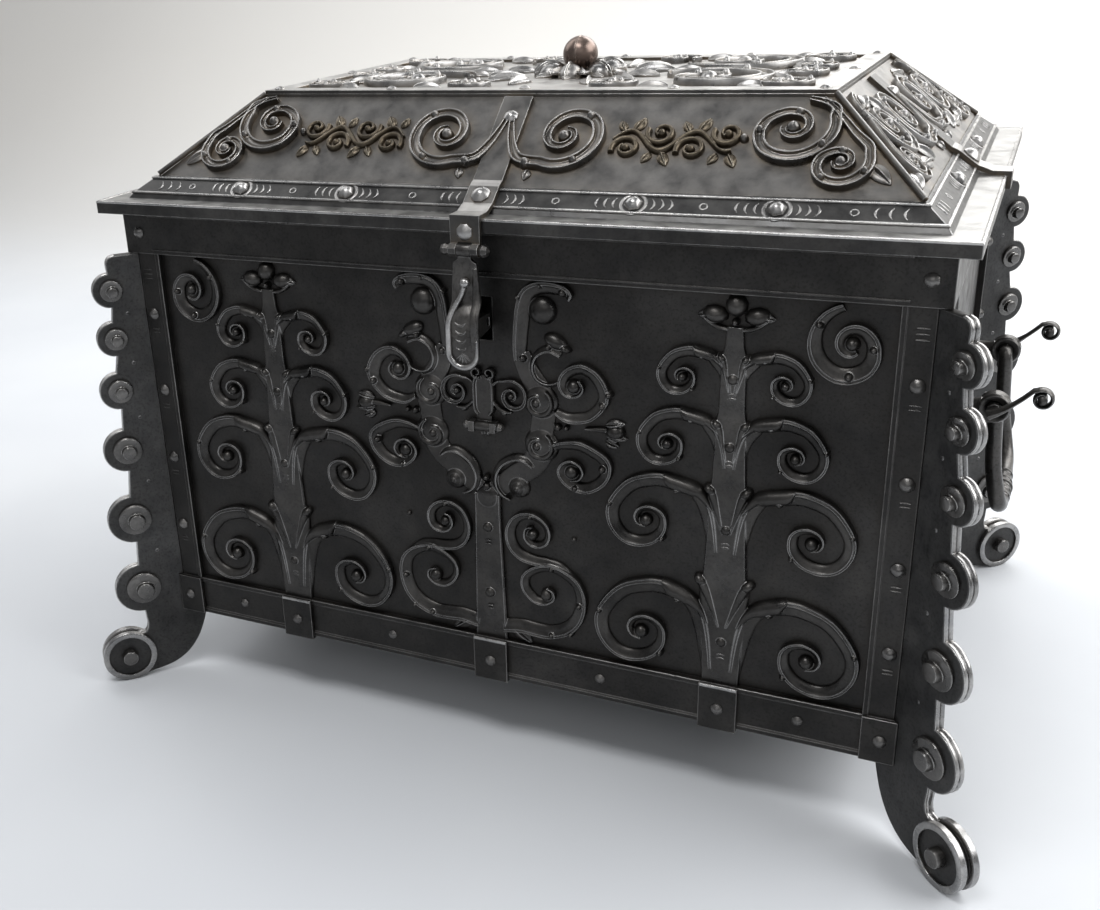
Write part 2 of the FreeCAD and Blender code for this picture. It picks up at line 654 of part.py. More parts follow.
def build_lid_shell():
    save_runs("lid_rim", [(0, -RIM_THICK), (RIM_WIDTH, -RIM_THICK), (RIM_WIDTH, 0), (0, 0)])
    save_runs("lid_band", [(BAND_INSET, 0), BAND_LINE_LOW, BAND_LINE_HIGH, (BAND_BACK, BAND_CREST),
                           (BAND_BACK, 0)])
    fall = LID_SHEET / math.cos(SLOPE_ANGLE)
    level = LID_SHEET / math.sin(SLOPE_ANGLE)
    save_runs("lid_slope", [(BAND_BACK, SLOPE_FOOT), (TOP_INSET, SLOPE_TOP),
                            (TOP_INSET + level, SLOPE_TOP), (BAND_BACK, SLOPE_FOOT - fall)])
    x, y = LID_WIDTH / 2 - TOP_INSET, LID_DEPTH / 2 - TOP_INSET
    save("lid_top_plate", [box(-x, x, -y, y, LID_TOP - LID_SHEET, LID_TOP)])
    strip = [(TOP_INSET, LID_RISE), (TOP_INSET, LID_RISE + TOP_STRIP_THICK),
             (TOP_INSET + TOP_STRIP_WIDTH, LID_RISE + TOP_STRIP_THICK),
             (TOP_INSET + TOP_STRIP_WIDTH, LID_RISE)]
    save("top_frame_strips", [lid_run(strip, side) for side in SIDES])


def build_hip_strips():
    """Narrow strips over the joints of the sloped sheets."""
    rise = HIP_STRIP_THICK / math.cos(SLOPE_ANGLE)
    foot = BAND_BACK + 3.0
    skin = [(foot, slope_line(foot)), (TOP_INSET, SLOPE_TOP), (TOP_INSET, SLOPE_TOP + rise),
            (foot, slope_line(foot) + rise)]
    shell = fused([lid_run(skin, side) for side in SIDES])
    strips = []
    for way_x in (-1, 1):
        for way_y in (-1, 1):
            blade = box(-LID_WIDTH, 0, -HIP_STRIP_WIDTH / 2, HIP_STRIP_WIDTH / 2, 0, 2 * LID_TOP)
            blade.rotate(V(0, 0, 0), V(0, 0, 1), 45.0)
            blade.translate(V(LID_WIDTH / 2, LID_DEPTH / 2, 0))
            if way_x < 0:
                blade = mirror_x(blade)
            if way_y < 0:
                blade = mirror_y(blade)
            quarter = box(0, LID_WIDTH, 0, LID_DEPTH, 0, 2 * LID_TOP)
            if way_x < 0:
                quarter = mirror_x(quarter)
            if way_y < 0:
                quarter = mirror_y(quarter)
            strips += shell.common(blade).common(quarter).Solids
    save("hip_strips", strips)


def strap(side, tail):
    """Strap from the top edge down the slope, over band and rim, folded over the lid's edge."""
    depth = LID_DEPTH if side in ("front", "back") else LID_WIDTH
    foot = BAND_BACK + (BAND_CREST - SLOPE_FOOT) / math.tan(SLOPE_ANGLE) + 2.0
    path = [(0, -tail), (0, 0), (12, 0), BAND_LINE_LOW, BAND_LINE_HIGH, (BAND_BACK, BAND_CREST),
            (foot, slope_line(foot)), (TOP_INSET - 2, slope_line(TOP_INSET - 2))]
    section = path + offset_line(path, STRAP_THICK)[::-1]
    piece = along_x([(inset - depth / 2, RIM_TOP + height) for inset, height in section],
                    -STRAP_WIDTH / 2, STRAP_WIDTH / 2)
    return turn_z(piece, SIDES[side])


def knuckle(x0, x1, y, z, radius, bore):
    """Barrel round a pin that runs along X."""
    barrel = turned([(radius, 0), (radius, x1 - x0)], 8, V(x0, y, z), V(1, 0, 0))
    return barrel, Part.makeCylinder(bore, x1 - x0 + 2, V(x0 - 1, y, z), V(1, 0, 0))


def capped_pin(reach, radius, cap, y, z):
    """Pin along X with a turned button on each end."""
    pin = turned([(radius, 0), (radius, 2 * reach)], 8, V(-reach, y, z), V(1, 0, 0))
    profile = [(0.75 * cap, 0), (cap, 0.6 * cap), (0.75 * cap, 1.2 * cap), (0, 1.6 * cap)]
    for way in (-1, 1):
        pin = pin.fuse(turned(profile, 8, V(way * reach, y, z), V(way, 0, 0)))
    return pin


def build_straps():
    save("strap_back", [strap("back", RIM_THICK)])
    save("strap_sides", [strap("left", RIM_THICK), strap("right", RIM_THICK)])
    gap = HASP_KNUCKLE / 2 + SIDE_PLAY
    end = STRAP_WIDTH / 2
    front = strap("front", HASP_PIN_DROP)
    clear = HASP_BARREL + SIDE_PLAY
    room = box(-gap, gap, HASP_Y - clear, HASP_Y + 2 * clear, HASP_Z - clear, HASP_Z + clear)
    front = front.cut(room)
    for x0, x1 in ((-end, -gap), (gap, end)):
        barrel, bore = knuckle(x0, x1, HASP_Y, HASP_Z, HASP_BARREL, HASP_PIN + PIN_PLAY)
        front = front.fuse(barrel).cut(bore)
    save("strap_front", [front.removeSplitter()])
    save("hasp_pin", [capped_pin(end + SIDE_PLAY, HASP_PIN, HASP_BARREL, HASP_Y, HASP_Z)])


def on_slope(groups, side):
    """Relief on a slope: outlines in (along the side, up the slope), stretched to fill it up to its gap."""
    depth = LID_DEPTH if side in ("front", "back") else LID_WIDTH
    half = (LID_WIDTH if side in ("front", "back") else LID_DEPTH) / 2 - BAND_BACK
    points = [point for group in groups for outline in group for point in outline]
    up = (SLOPE_LENGTH - SLOPE_GAP) / max(v for u, v in points)
    across = (half - HIP_GAP) / max(u + v * HIP_SHARE for u, v in points)
    pieces = []
    for group in groups:
        right = [stretched(o, across, up) for o in group]
        for outlines in (right, [mirrored(o) for o in right]):
            piece = fused([along_z(o, 0, SLOPE_RELIEF) for o in outlines])
            piece.rotate(V(0, 0, 0), V(1, 0, 0), math.degrees(SLOPE_ANGLE))
            piece.translate(V(0, BAND_BACK - depth / 2, RIM_TOP + SLOPE_FOOT))
            pieces.append(turn_z(piece, SIDES[side]))
    return pieces


def build_lid_relief():
    chord = LID_CHORD_DEG
    front = [scroll((53, 50), 31.0, 215.0, 480.0, 6.5, 6.0, chord=chord),
             scroll((235, 56), 26.0, 150.0, -440.0, 6.0, 5.0, chord=chord),
             scroll((276, 25), 17.0, 150.0, -440.0, 4.5, 4.0, chord=chord)]
    side = [scroll((52, 50), 29.0, 215.0, 480.0, 6.0, 5.5, chord=chord),
            scroll((122, 54), 26.0, 150.0, -420.0, 6.0, 5.0, chord=chord),
            [leaf((86, 18), 30.0, 11.0, 70.0)], [leaf((104, 16), 30.0, 11.0, 0.0)],
            [leaf((150, 14), 30.0, 11.0, 40.0)]]
    save("slope_scrolls", on_slope(front, "front") + on_slope(side, "right") + on_slope(side, "left"))

    quarter = [scroll((140, 66), 54.0, 200.0, 540.0, 10.0, 9.0, 20.0, chord),
               scroll((212, 101), 23.0, 200.0, -400.0, 6.0, 5.0, chord=chord),
               scroll((66, 102), 22.0, 330.0, 400.0, 6.0, 5.0, chord=chord),
               [leaf((48, 26), 36.0, 13.0, 45.0)], [leaf((184, 58), 32.0, 13.0, 30.0)],
               [leaf((92, 114), 40.0, 13.0, 4.0)], [leaf((198, 10), 36.0, 13.0, 40.0)]]
    points = [point for group in quarter for outline in group for point in outline]
    across = (LID_WIDTH / 2 - TOP_INSET - TOP_STRIP_WIDTH - TOP_GAP) / max(u for u, v in points)
    up = (LID_DEPTH / 2 - TOP_INSET - TOP_STRIP_WIDTH - TOP_GAP) / max(v for u, v in points)
    pieces = []
    for group in quarter:
        raised = fused([along_z(stretched(o, across, up), LID_TOP, LID_TOP + TOP_RELIEF) for o in group])
        pieces += [raised, mirror_x(raised), mirror_y(raised), mirror_x(mirror_y(raised))]
    save("top_scrollwork", pieces)

    petals = []
    for i in range(8):
        petal = along_z([(0, 0), (0.6 * ROSETTE_RADIUS, -0.28 * ROSETTE_RADIUS),
                         (ROSETTE_RADIUS, 0), (0.6 * ROSETTE_RADIUS, 0.28 * ROSETTE_RADIUS)],
                        LID_TOP, LID_TOP + ROSETTE_THICK)
        petals.append(turn_z(petal, 45.0 * i))
    save("rosette", [fused(petals)])
    neck = LID_TOP + ROSETTE_THICK
    rows = []
    for i in range(1, 9):
        angle = math.pi * i / 8
        rows.append((0 if i == 8 else KNOB_RADIUS * math.sin(angle), KNOB_RADIUS * (1 - math.cos(angle))))
    sunk = rows[0][1]
    profile = [(radius, height - sunk) for radius, height in rows]
    save("knob", [turned(profile, 12, V(0, 0, neck), V(0, 0, 1))])


def build_lid_rivets():
    heads = []
    inset = (BAND_LINE_LOW[0] + BAND_LINE_HIGH[0]) / 2
    height = (BAND_LINE_LOW[1] + BAND_LINE_HIGH[1]) / 2
    tilt = math.atan2(BAND_LINE_HIGH[1] - BAND_LINE_LOW[1], BAND_LINE_HIGH[0] - BAND_LINE_LOW[0])
    for side, spots in (("front", BAND_RIVETS_FRONT), ("back", BAND_RIVETS_FRONT),
                        ("left", BAND_RIVETS_SIDE), ("right", BAND_RIVETS_SIDE)):
        depth = LID_DEPTH if side in ("front", "back") else LID_WIDTH
        for spot in spots:
            for way in (-1, 1):
                place = V(way * spot, inset - depth / 2, RIM_TOP + height)
                head = turned([(RIVET_RADIUS, 0), (0, RIVET_HEIGHT)], 4, place,
                              V(0, -math.sin(tilt), math.cos(tilt)))
                heads.append(turn_z(head, SIDES[side]))
    save("lid_rivets", heads)


def build_rear_hinges():
    """Two loop hinges: lid leaf on the rim's edge, box leaf on the top rail, one pin each."""
    rail_face = SHEET_Y + TOP_RAIL_THICK
    edge = LID_DEPTH / 2
    bore_radius = HINGE_PIN + PIN_PLAY
    low = HINGE_Z - HINGE_BARREL
    lid_leaves, box_leaves, pins = [], [], []
    for way in (-1, 1):
        start, middle, end = [way * HINGE_X + share * HINGE_LENGTH for share in (-0.5, 0, 0.5)]
        x0, x1 = middle + SIDE_PLAY, end
        barrel, bore = knuckle(x0, x1, HINGE_Y, HINGE_Z, HINGE_BARREL, bore_radius)
        web = along_x([(edge, RIM_TOP), (edge + HINGE_LEAF, RIM_TOP),
                       (edge + HINGE_LEAF, HINGE_Z + HINGE_BARREL), (HINGE_Y, HINGE_Z + 5.0),
                       (HINGE_Y, HINGE_Z), (edge + 2.0, HINGE_Z + 1.0), (edge, RIM_BOTTOM)], x0, x1)
        lid_leaves.append(web.fuse(barrel).cut(bore).removeSplitter())
        x0, x1 = start, middle - SIDE_PLAY
        barrel, bore = knuckle(x0, x1, HINGE_Y, HINGE_Z, HINGE_BARREL, bore_radius)
        leaf = box(start, end, rail_face, rail_face + HINGE_LEAF, low - HINGE_LEAF_HEIGHT, low + HINGE_LEAF)
        arm = box(x0, x1, rail_face, HINGE_Y, low, low + HINGE_LEAF - PIN_PLAY)
        box_leaves.append(fused([leaf, arm, barrel]).cut(bore).removeSplitter())
        rod = [(HINGE_PIN, 0), (HINGE_PIN, HINGE_LENGTH)]
        pins.append(turned(rod, 8, V(start, HINGE_Y, HINGE_Z), V(1, 0, 0)))
    save("hinge_leaves_lid", lid_leaves)
    save("hinge_leaves_box", box_leaves)
    save("hinge_pins", pins)


def pressed(shape, back=False):
    """Swing a piece with the hasp from hanging to pressed in, or back again."""
    swung = shape.copy()
    degrees = -HASP_PRESS_DEG if back else HASP_PRESS_DEG
    swung.rotate(V(0, HASP_Y, HASP_Z), V(1, 0, 0), degrees)
    return swung


def bolt_place():
    """Centre of the bolt's bar in Y and Z: the middle of the staple's eye when pressed in."""
    tip = V(0, -SHEET_Y - STAPLE_CLEAR, STAPLE_Z)
    eye = tip - V(0, 2.5 + BOLT_PLAY + BOLT_THICK / 2, 0)
    point = pressed(Part.Vertex(eye)).Point
    return point.y, point.z


def build_hasp():
    half = HASP_KNUCKLE / 2
    barrel, bore = knuckle(-half, half, HASP_Y, HASP_Z, HASP_BARREL, HASP_PIN + PIN_PLAY)
    front, rear = HASP_Y - HASP_THICK / 2, HASP_Y + HASP_THICK / 2
    crank_top, crank_low = HASP_Z - HASP_CRANK_TOP, HASP_Z - HASP_CRANK_LOW
    bottom = HASP_Z - HASP_LENGTH
    side_view = [(rear, HASP_Z), (rear, crank_top), (rear - HASP_CRANK, crank_low),
                 (rear - HASP_CRANK, bottom), (front - HASP_CRANK, bottom),
                 (front - HASP_CRANK, crank_low), (front, crank_top), (front, HASP_Z)]
    wide = HASP_WIDTH / 2
    plate = along_x(side_view, -wide, wide)
    shoulder = HASP_Z - HASP_BARREL - 3.0
    face_view = [(-half, HASP_Z + 1), (half, HASP_Z + 1), (half, shoulder), (0.8 * wide, shoulder - 3),
                 (wide, crank_low), (wide, bottom + wide), (0.72 * wide, bottom + 0.3 * wide),
                 (0.3 * wide, bottom), (-0.3 * wide, bottom), (-0.72 * wide, bottom + 0.3 * wide),
                 (-wide, bottom + wide), (-wide, crank_low), (-0.8 * wide, shoulder - 3),
                 (-half, shoulder)]
    plate = plate.common(along_y(face_view, HASP_Y - 40, HASP_Y + 40))
    spoon = [(wide, crank_low), (wide, bottom + wide), (0.72 * wide, bottom + 0.3 * wide),
             (0.3 * wide, bottom), (-0.3 * wide, bottom), (-0.72 * wide, bottom + 0.3 * wide),
             (-wide, bottom + wide), (-wide, crank_low)]
    inner = offset_line(spoon, -HASP_RIM)
    rim_face = front - HASP_CRANK
    rim = along_y(spoon + inner[::-1], rim_face, rim_face - HASP_RIM)
    nose = box(-STAPLE_WIDTH / 2, STAPLE_WIDTH / 2, rear - HASP_CRANK, -SHEET_Y - STAPLE_CLEAR,
               STAPLE_Z - STAPLE_HEIGHT / 2, STAPLE_Z + STAPLE_HEIGHT / 2)
    bolt_y, bolt_z = bolt_place()
    deep, tall = BOLT_THICK / 2 + BOLT_PLAY, BOLT_HEIGHT / 2 + BOLT_PLAY
    eye = box(-HASP_WIDTH, HASP_WIDTH, bolt_y - deep, bolt_y + deep, bolt_z - tall, bolt_z + tall)
    hasp = fused([plate, barrel, rim, nose]).cut(bore).cut(pressed(eye, back=True))
    save("hasp", [hasp.removeSplitter()])


def build_lock():
    """Open-fronted case with two bolt guides and the pin for the key, and the bolt with its talon."""
    back = -SHEET_Y + SHEET
    bolt_y, bolt_z = bolt_place()
    deep, tall = BOLT_THICK / 2, BOLT_HEIGHT / 2
    start = STAPLE_WIDTH / 2 + BOLT_END_GAP
    guide_near = start + BOLT_END_GAP
    talon_x = guide_near + BOLT_GUIDE + BOLT_TRAVEL + LOCK_CLEAR
    guide_far = talon_x + TALON_WIDTH + LOCK_CLEAR
    end = guide_far + BOLT_GUIDE + LOCK_CLEAR

    wall = LOCK_WALL
    wide, top = end + LOCK_CLEAR + wall, BOX_TOP - LOCK_TOP_DROP
    rear = back + LOCK_DEPTH - wall
    outer = box(-wide, wide, back, rear + wall, LOCK_BOTTOM, top)
    hollow = box(-wide + wall, wide - wall, back, rear, LOCK_BOTTOM + wall, top - wall)
    guides = []
    for x in (guide_near, guide_far):
        block = box(x, x + BOLT_GUIDE, back, rear, bolt_z - tall - LOCK_CLEAR, bolt_z + tall + LOCK_CLEAR)
        way = box(x - 1, x + BOLT_GUIDE + 1, bolt_y - deep - GUIDE_PLAY, bolt_y + deep + GUIDE_PLAY,
                  bolt_z - tall - GUIDE_PLAY, bolt_z + tall + GUIDE_PLAY)
        guides.append(block.cut(way))
    key_pin = turned([(KEY_PIN, 0), (KEY_PIN, rear - back - KEY_PIN_BACK + 1)], 8,
                     V(0, back + KEY_PIN_BACK, KEYHOLE_Z + KEY_PIN_RISE), V(0, 1, 0))
    save("lock_case", [fused([outer.cut(hollow), key_pin] + guides)])

    shank = box(start, end, bolt_y - deep, bolt_y + deep, bolt_z - tall, bolt_z + tall)
    talon = box(talon_x, talon_x + TALON_WIDTH, bolt_y - deep, bolt_y + deep,
                KEYHOLE_Z + KEYHOLE_HEIGHT / 2, bolt_z - tall)
    save("lock_bolt", [fused([shank, talon])])


def build_keyhole_cover():
    axis_y = -SHEET_Y - COVER_PIN_OUT
    half = COVER_KNUCKLE / 2
    barrel, bore = knuckle(-half, half, axis_y, COVER_PIN_Z, COVER_BARREL, COVER_PIN + PIN_PLAY)
    foot = COVER_PIN_Z
    free = foot + 2 * COVER_BARREL
    outlines = [[(-half, foot), (half, foot), (half, free), (9, free + 5), (9, foot + 42),
                 (-9, foot + 42), (-9, free + 5), (-half, free)]]
    wing = scroll((25, foot + 29), 15.0, 135.0, -390.0, 4.0, 3.5, 16.0, LID_CHORD_DEG)
    wing = [stretched(o, FRONT_ACROSS, 1.0) for o in wing]
    curl = [regular((6.5, foot + 46), 5.8, 8)]
    outlines += wing + curl + [mirrored(o) for o in wing + curl]
    rear = -SHEET_Y - COVER_GAP
    lyre = fused([along_y(o, rear, rear - COVER_THICK) for o in outlines])
    save("keyhole_cover", [lyre.fuse(barrel).cut(bore).removeSplitter()])
    inner, outer = half + SIDE_PLAY, half + SIDE_PLAY + LUG_WIDTH
    pin = capped_pin(outer, COVER_PIN, COVER_BARREL, axis_y, COVER_PIN_Z)
    for x0, x1 in ((-outer, -inner), (inner, outer)):
        low, high = COVER_PIN_Z - COVER_BARREL, COVER_PIN_Z + COVER_BARREL
        lug = along_x([(axis_y + COVER_BARREL, high), (-SHEET_Y, COVER_PIN_Z), (-SHEET_Y, low),
                       (axis_y - COVER_BARREL, low), (axis_y - COVER_BARREL, high)], x0, x1)
        pin = pin.fuse(lug)
    save("keyhole_pin", [pin.removeSplitter()])


def build_handles():
    """Bail handles: each end runs out through an eye and turns away from the wall as a stop."""
    axis_x = POST_X + EYE_OUT
    eyes = []
    for way in (-1, 1):
        y0 = way * EYE_Y - EYE_LENGTH / 2
        ring = turned([(EYE_RADIUS, 0), (EYE_RADIUS, EYE_LENGTH)], 8, V(axis_x, y0, EYE_Z), V(0, 1, 0))
        bore = Part.makeCylinder(BAR_RADIUS + PIN_PLAY, EYE_LENGTH + 2, V(axis_x, y0 - 1, EYE_Z), V(0, 1, 0))
        stem_end = axis_x - SHEET_X - BAR_RADIUS - PIN_PLAY - 1.0
        stem = turned([(EYE_FOOT, 0), (EYE_FOOT, EYE_FOOT_THICK), (EYE_STEM, EYE_FOOT_THICK + 3),
                       (EYE_STEM, stem_end)], 6, V(SHEET_X, way * EYE_Y, EYE_Z), V(1, 0, 0))
        eyes.append(ring.cut(bore).fuse(stem).removeSplitter())
    save("handle_eyes", eyes + [mirror_x(eye) for eye in eyes])

    inner = EYE_Y - EYE_LENGTH / 2 - BAR_RADIUS - 2.0
    outer = EYE_Y + EYE_LENGTH / 2 + BAR_RADIUS + 2.0
    low = EYE_Z - BAIL_DROP
    grip_x = axis_x + BAIL_BOW
    near = [V(axis_x + STOP_REACH, -outer, EYE_Z + STOP_RISE), V(axis_x, -outer, EYE_Z),
            V(axis_x, -inner, EYE_Z), V(axis_x + 0.3 * BAIL_BOW, -inner, EYE_Z - 0.55 * BAIL_DROP),
            V(axis_x + 0.8 * BAIL_BOW, -0.93 * inner, low + 0.2 * BAIL_DROP),
            V(grip_x, -0.75 * inner, low + 0.06 * BAIL_DROP), V(grip_x, -0.4 * inner, low)]
    path = near + [V(p.x, -p.y, p.z) for p in near[::-1]]
    parts = [bar(path, BAR_RADIUS)]
    for way in (-1, 1):
        tip = V(axis_x + STOP_REACH, way * outer - 1.1 * BAR_RADIUS, EYE_Z + STOP_RISE - 0.5 * STOP_SCROLL)
        parts.append(turned([(STOP_SCROLL, 0), (STOP_SCROLL, 2.2 * BAR_RADIUS)], 10, tip, V(0, 1, 0)))
    right = fused(parts)
    save("handle_right", [right])
    save("handle_left", [mirror_x(right)])


build_walls()
build_frame()
build_fins()
build_front_ornament()
build_frame_rivets()
build_lid_shell()
build_hip_strips()
build_straps()
build_lid_relief()
build_lid_rivets()
build_rear_hinges()
build_hasp()
build_lock()
build_keyhole_cover()
build_handles()
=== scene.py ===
import math

import bmesh
import bpy
from mathutils import Matrix, Vector


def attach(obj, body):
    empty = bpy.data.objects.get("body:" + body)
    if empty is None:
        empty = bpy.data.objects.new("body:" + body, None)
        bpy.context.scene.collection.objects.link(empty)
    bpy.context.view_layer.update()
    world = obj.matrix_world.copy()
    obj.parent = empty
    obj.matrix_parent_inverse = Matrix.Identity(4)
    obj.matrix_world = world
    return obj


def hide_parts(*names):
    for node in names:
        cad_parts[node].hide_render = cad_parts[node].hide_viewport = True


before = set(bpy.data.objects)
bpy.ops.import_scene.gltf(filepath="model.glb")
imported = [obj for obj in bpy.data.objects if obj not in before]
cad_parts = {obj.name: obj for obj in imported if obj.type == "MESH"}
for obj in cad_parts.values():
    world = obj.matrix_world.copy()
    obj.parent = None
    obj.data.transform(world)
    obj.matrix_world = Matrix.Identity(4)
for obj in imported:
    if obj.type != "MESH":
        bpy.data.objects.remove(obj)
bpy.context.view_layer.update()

MM = 0.001
# Places of the CAD model, in millimetres
POST_X, POST_Y = 362.0, 250.0
SHEET_X, SHEET_Y = 357.0, 245.0
FRIEZE_Y, CLIP_Y, RAIL_Y = SHEET_Y + 8, SHEET_Y + 9, SHEET_Y + 4.5
RAIL_TOP, RAIL_RIVET_Z, CLIP_RIVET_Z = 112.0, 91.5, 89.0
POST_RIVET_INSET, POST_RIVET_HEIGHTS = 15.5, (397, 319, 247, 172)
RIM_TOP, LID_TOP = 508.3, 591.3
LID_WIDTH, LID_DEPTH, LID_RISE = 760.0, 540.0, 80.0
BAND_BACK, SLOPE_FOOT, TOP_INSET = 43.0, 16.5, 120.0
SLOPE_ANGLE = math.atan2(LID_RISE - SLOPE_FOOT, TOP_INSET - BAND_BACK)
# Edges of the lid's band: (in from the rim, up from it)
BAND_LOW, BAND_HIGH = (25.0, 5.0), (39.7, 16.2)
BAND_ANGLE = math.atan2(BAND_HIGH[1] - BAND_LOW[1], BAND_HIGH[0] - BAND_LOW[0])
# Middle line of the band, up its face
BAND_MIDDLE = 9.2
STRAP_THICKNESS = 4.0
SIDES = {"front": 0.0, "right": 90.0, "back": 180.0, "left": 270.0}
LONG_SIDES = ("front", "back")
QUARTERS = ((1, 1), (1, -1), (-1, 1), (-1, -1))
TREE_X = 213.0
CLIPS = (-TREE_X, 0, TREE_X)
# Hasp: its pin, lower end, half width and the distance of its face in front of the pin
HASP_Y, HASP_Z, HASP_END, HASP_HALF, HASP_OUT = -275.0, 484.3, 387.3, 13.6, 10.0
# Pin of the keyhole cover
COVER_Y, COVER_Z = 251.0, 324.0
# Eyes of the handles
EYE_X, EYE_Y, EYE_Z = 395.0, 83.0, 329.0


# ---------------------------------------------------------------- materials
class Shader:
    """A material with a principled shader and short calls for its nodes."""

    def __init__(self, name):
        self.material = bpy.data.materials.new(name)
        self.material.use_nodes = True
        self.tree = self.material.node_tree
        self.tree.nodes.clear()
        self.surface = self.node("BsdfPrincipled")
        self.node("OutputMaterial", {"Surface": self.surface.outputs[0]})
        places = self.node("TexCoord").outputs
        self.coords, self.normals = places["Object"], places["Normal"]

    def node(self, kind, inputs=None, **settings):
        node = self.tree.nodes.new("ShaderNode" + kind)
        for key, value in settings.items():
            setattr(node, key, value)
        self.fill(node, inputs or {})
        return node

    def fill(self, node, inputs):
        """Sets inputs of a node to a number, a colour or the output of another node."""
        for key, value in inputs.items():
            if isinstance(value, bpy.types.NodeSocket):
                self.tree.links.new(value, node.inputs[key])
            else:
                node.inputs[key].default_value = (*value, 1.0) if isinstance(value, tuple) else value

    def noise(self, scale, detail, rough):
        inputs = {"Vector": self.coords, "Scale": scale, "Detail": detail, "Roughness": rough}
        return self.node("TexNoise", inputs).outputs["Fac"]

    def ramp(self, factor, *stops):
        node = self.node("ValToRGB", {"Fac": factor})
        band = node.color_ramp
        while len(band.elements) < len(stops):
            band.elements.new(0.5)
        for element, (place, colour) in zip(band.elements, stops):
            element.position = place
            element.color = (*colour, 1.0)
        return node.outputs["Color"]

    def remap(self, value, low, high, to_low, to_high):
        inputs = {"Value": value, "From Min": low, "From Max": high, "To Min": to_low, "To Max": to_high}
        return self.node("MapRange", inputs).outputs["Result"]

    def math(self, kind, first, second):
        return self.node("Math", {0: first, 1: second}, operation=kind).outputs[0]

    def mix(self, factor, first, second, blend="MIX"):
        inputs = {0: factor, 6: first, 7: second}
        return self.node("Mix", inputs, data_type="RGBA", blend_type=blend).outputs[2]


def iron(name, tones, worn, rough, metal, wear=0.8, edge=1.1, dust_and_shade=None, painted_top_light=None, hammer=0.3, pits=0.5):
    """Forged iron: cloudy tone, fine grain, hammered surface, rubbed edges and a colour in the hollows, which is dust
    where it is tan and painted shade where it is darker than the iron.

    tones are its dark, middle and light colour; faces that look up can be given a lighter colour, which is painted
    light from above."""
    s = Shader(name)
    patch, grain = s.noise(46.0, 5.0, 0.6), s.noise(420.0, 3.0, 0.6)
    colour = s.ramp(s.noise(11.0, 8.0, 0.62), *zip((0.32, 0.52, 0.74), tones))
    shade = s.ramp(patch, (0.3, (0.55, 0.55, 0.56)), (0.7, (1.25, 1.22, 1.18)))
    colour = s.mix(0.75, colour, shade, "MULTIPLY")
    specks = s.ramp(grain, (0.34, (0.35, 0.33, 0.31)), (0.5, (1.0, 1.0, 1.0)))
    colour = s.mix(pits, colour, specks, "MULTIPLY")
    # Painted light: faces that look up are mixed toward a lighter colour, standing in for the light that falls on them
    # from above.
    if painted_top_light:
        facing = s.node("SeparateXYZ", {0: s.normals}).outputs["Z"]
        share = s.math("MULTIPLY", s.remap(facing, 0.75, 0.97, 0.0, 0.85), s.remap(patch, 0.25, 0.65, 0.5, 1.0))
        colour = s.mix(share, colour, painted_top_light)

    bevel = s.node("Bevel", {"Radius": edge * MM}, samples=5).outputs["Normal"]
    normal = s.node("NewGeometry").outputs["Normal"]
    turn = s.node("VectorMath", {0: bevel, 1: normal}, operation="DOT_PRODUCT").outputs["Value"]
    rubbed = s.math("MULTIPLY", s.remap(turn, 0.985, 0.82, 0.0, wear), s.remap(patch, 0.25, 0.62, 0.35, 1.0))
    colour = s.mix(rubbed, colour, worn)
    # Hollows found by ambient occlusion are mixed toward a colour: a tan one is dust, a darker one is painted shade.
    if dust_and_shade:
        hollow = s.node("AmbientOcclusion", {"Distance": 12 * MM}, samples=5).outputs["AO"]
        share = s.math("MULTIPLY", s.remap(hollow, 0.35, 0.9, 0.75, 0.0), s.remap(patch, 0.3, 0.6, 0.25, 1.0))
        colour = s.mix(share, colour, dust_and_shade)

    gloss = s.remap(patch, 0.3, 0.7, rough - 0.09, rough + 0.13)
    gloss = s.math("SUBTRACT", gloss, s.math("MULTIPLY", rubbed, 0.14))
    height = s.math("ADD", s.noise(70.0, 2.0, 0.5), s.math("MULTIPLY", grain, 0.16))
    bump = s.node("Bump", {"Strength": hammer, "Distance": 1.6 * MM, "Height": height, "Normal": bevel})
    s.fill(s.surface, {"Base Color": colour, "Metallic": metal, "Roughness": gloss, "Normal": bump.outputs["Normal"]})
    return s.material


def greys(*values, warm=0.0):
    """Colours of the given grey values, a little warm or cool."""
    return [(v * (1 + warm), v, v * (1 - warm)) for v in values]


# Colours for the hollows: the first is painted shade, near-black in the recesses of the dark iron; the two tan ones
# are dust on the lid.
HOLLOW_SHADE, LID_DUST, RELIEF_DUST = (0.026, 0.022, 0.019), (0.20, 0.155, 0.105), (0.15, 0.115, 0.075)
DARK = iron("dark_iron", greys(0.019, 0.030, 0.049, warm=0.03), (0.42, 0.41, 0.40),
            rough=0.44, metal=0.75, wear=0.95, edge=1.5, dust_and_shade=HOLLOW_SHADE)
ORNAMENT = iron("ornament_iron", greys(0.036, 0.056, 0.086, warm=0.03), (0.42, 0.415, 0.41),
                rough=0.31, metal=0.88, wear=0.95, edge=1.3, dust_and_shade=HOLLOW_SHADE, hammer=0.2, pits=0.3)
BOSS = iron("boss_iron", greys(0.10, 0.15, 0.21, warm=0.02), (0.60, 0.595, 0.58),
            rough=0.28, metal=0.9, wear=0.9, edge=1.4, dust_and_shade=HOLLOW_SHADE, hammer=0.15, pits=0.2)
FIN = iron("fin_iron", greys(0.038, 0.060, 0.092), (0.36, 0.36, 0.36),
           rough=0.40, metal=0.82, wear=0.9, edge=1.2, dust_and_shade=HOLLOW_SHADE)
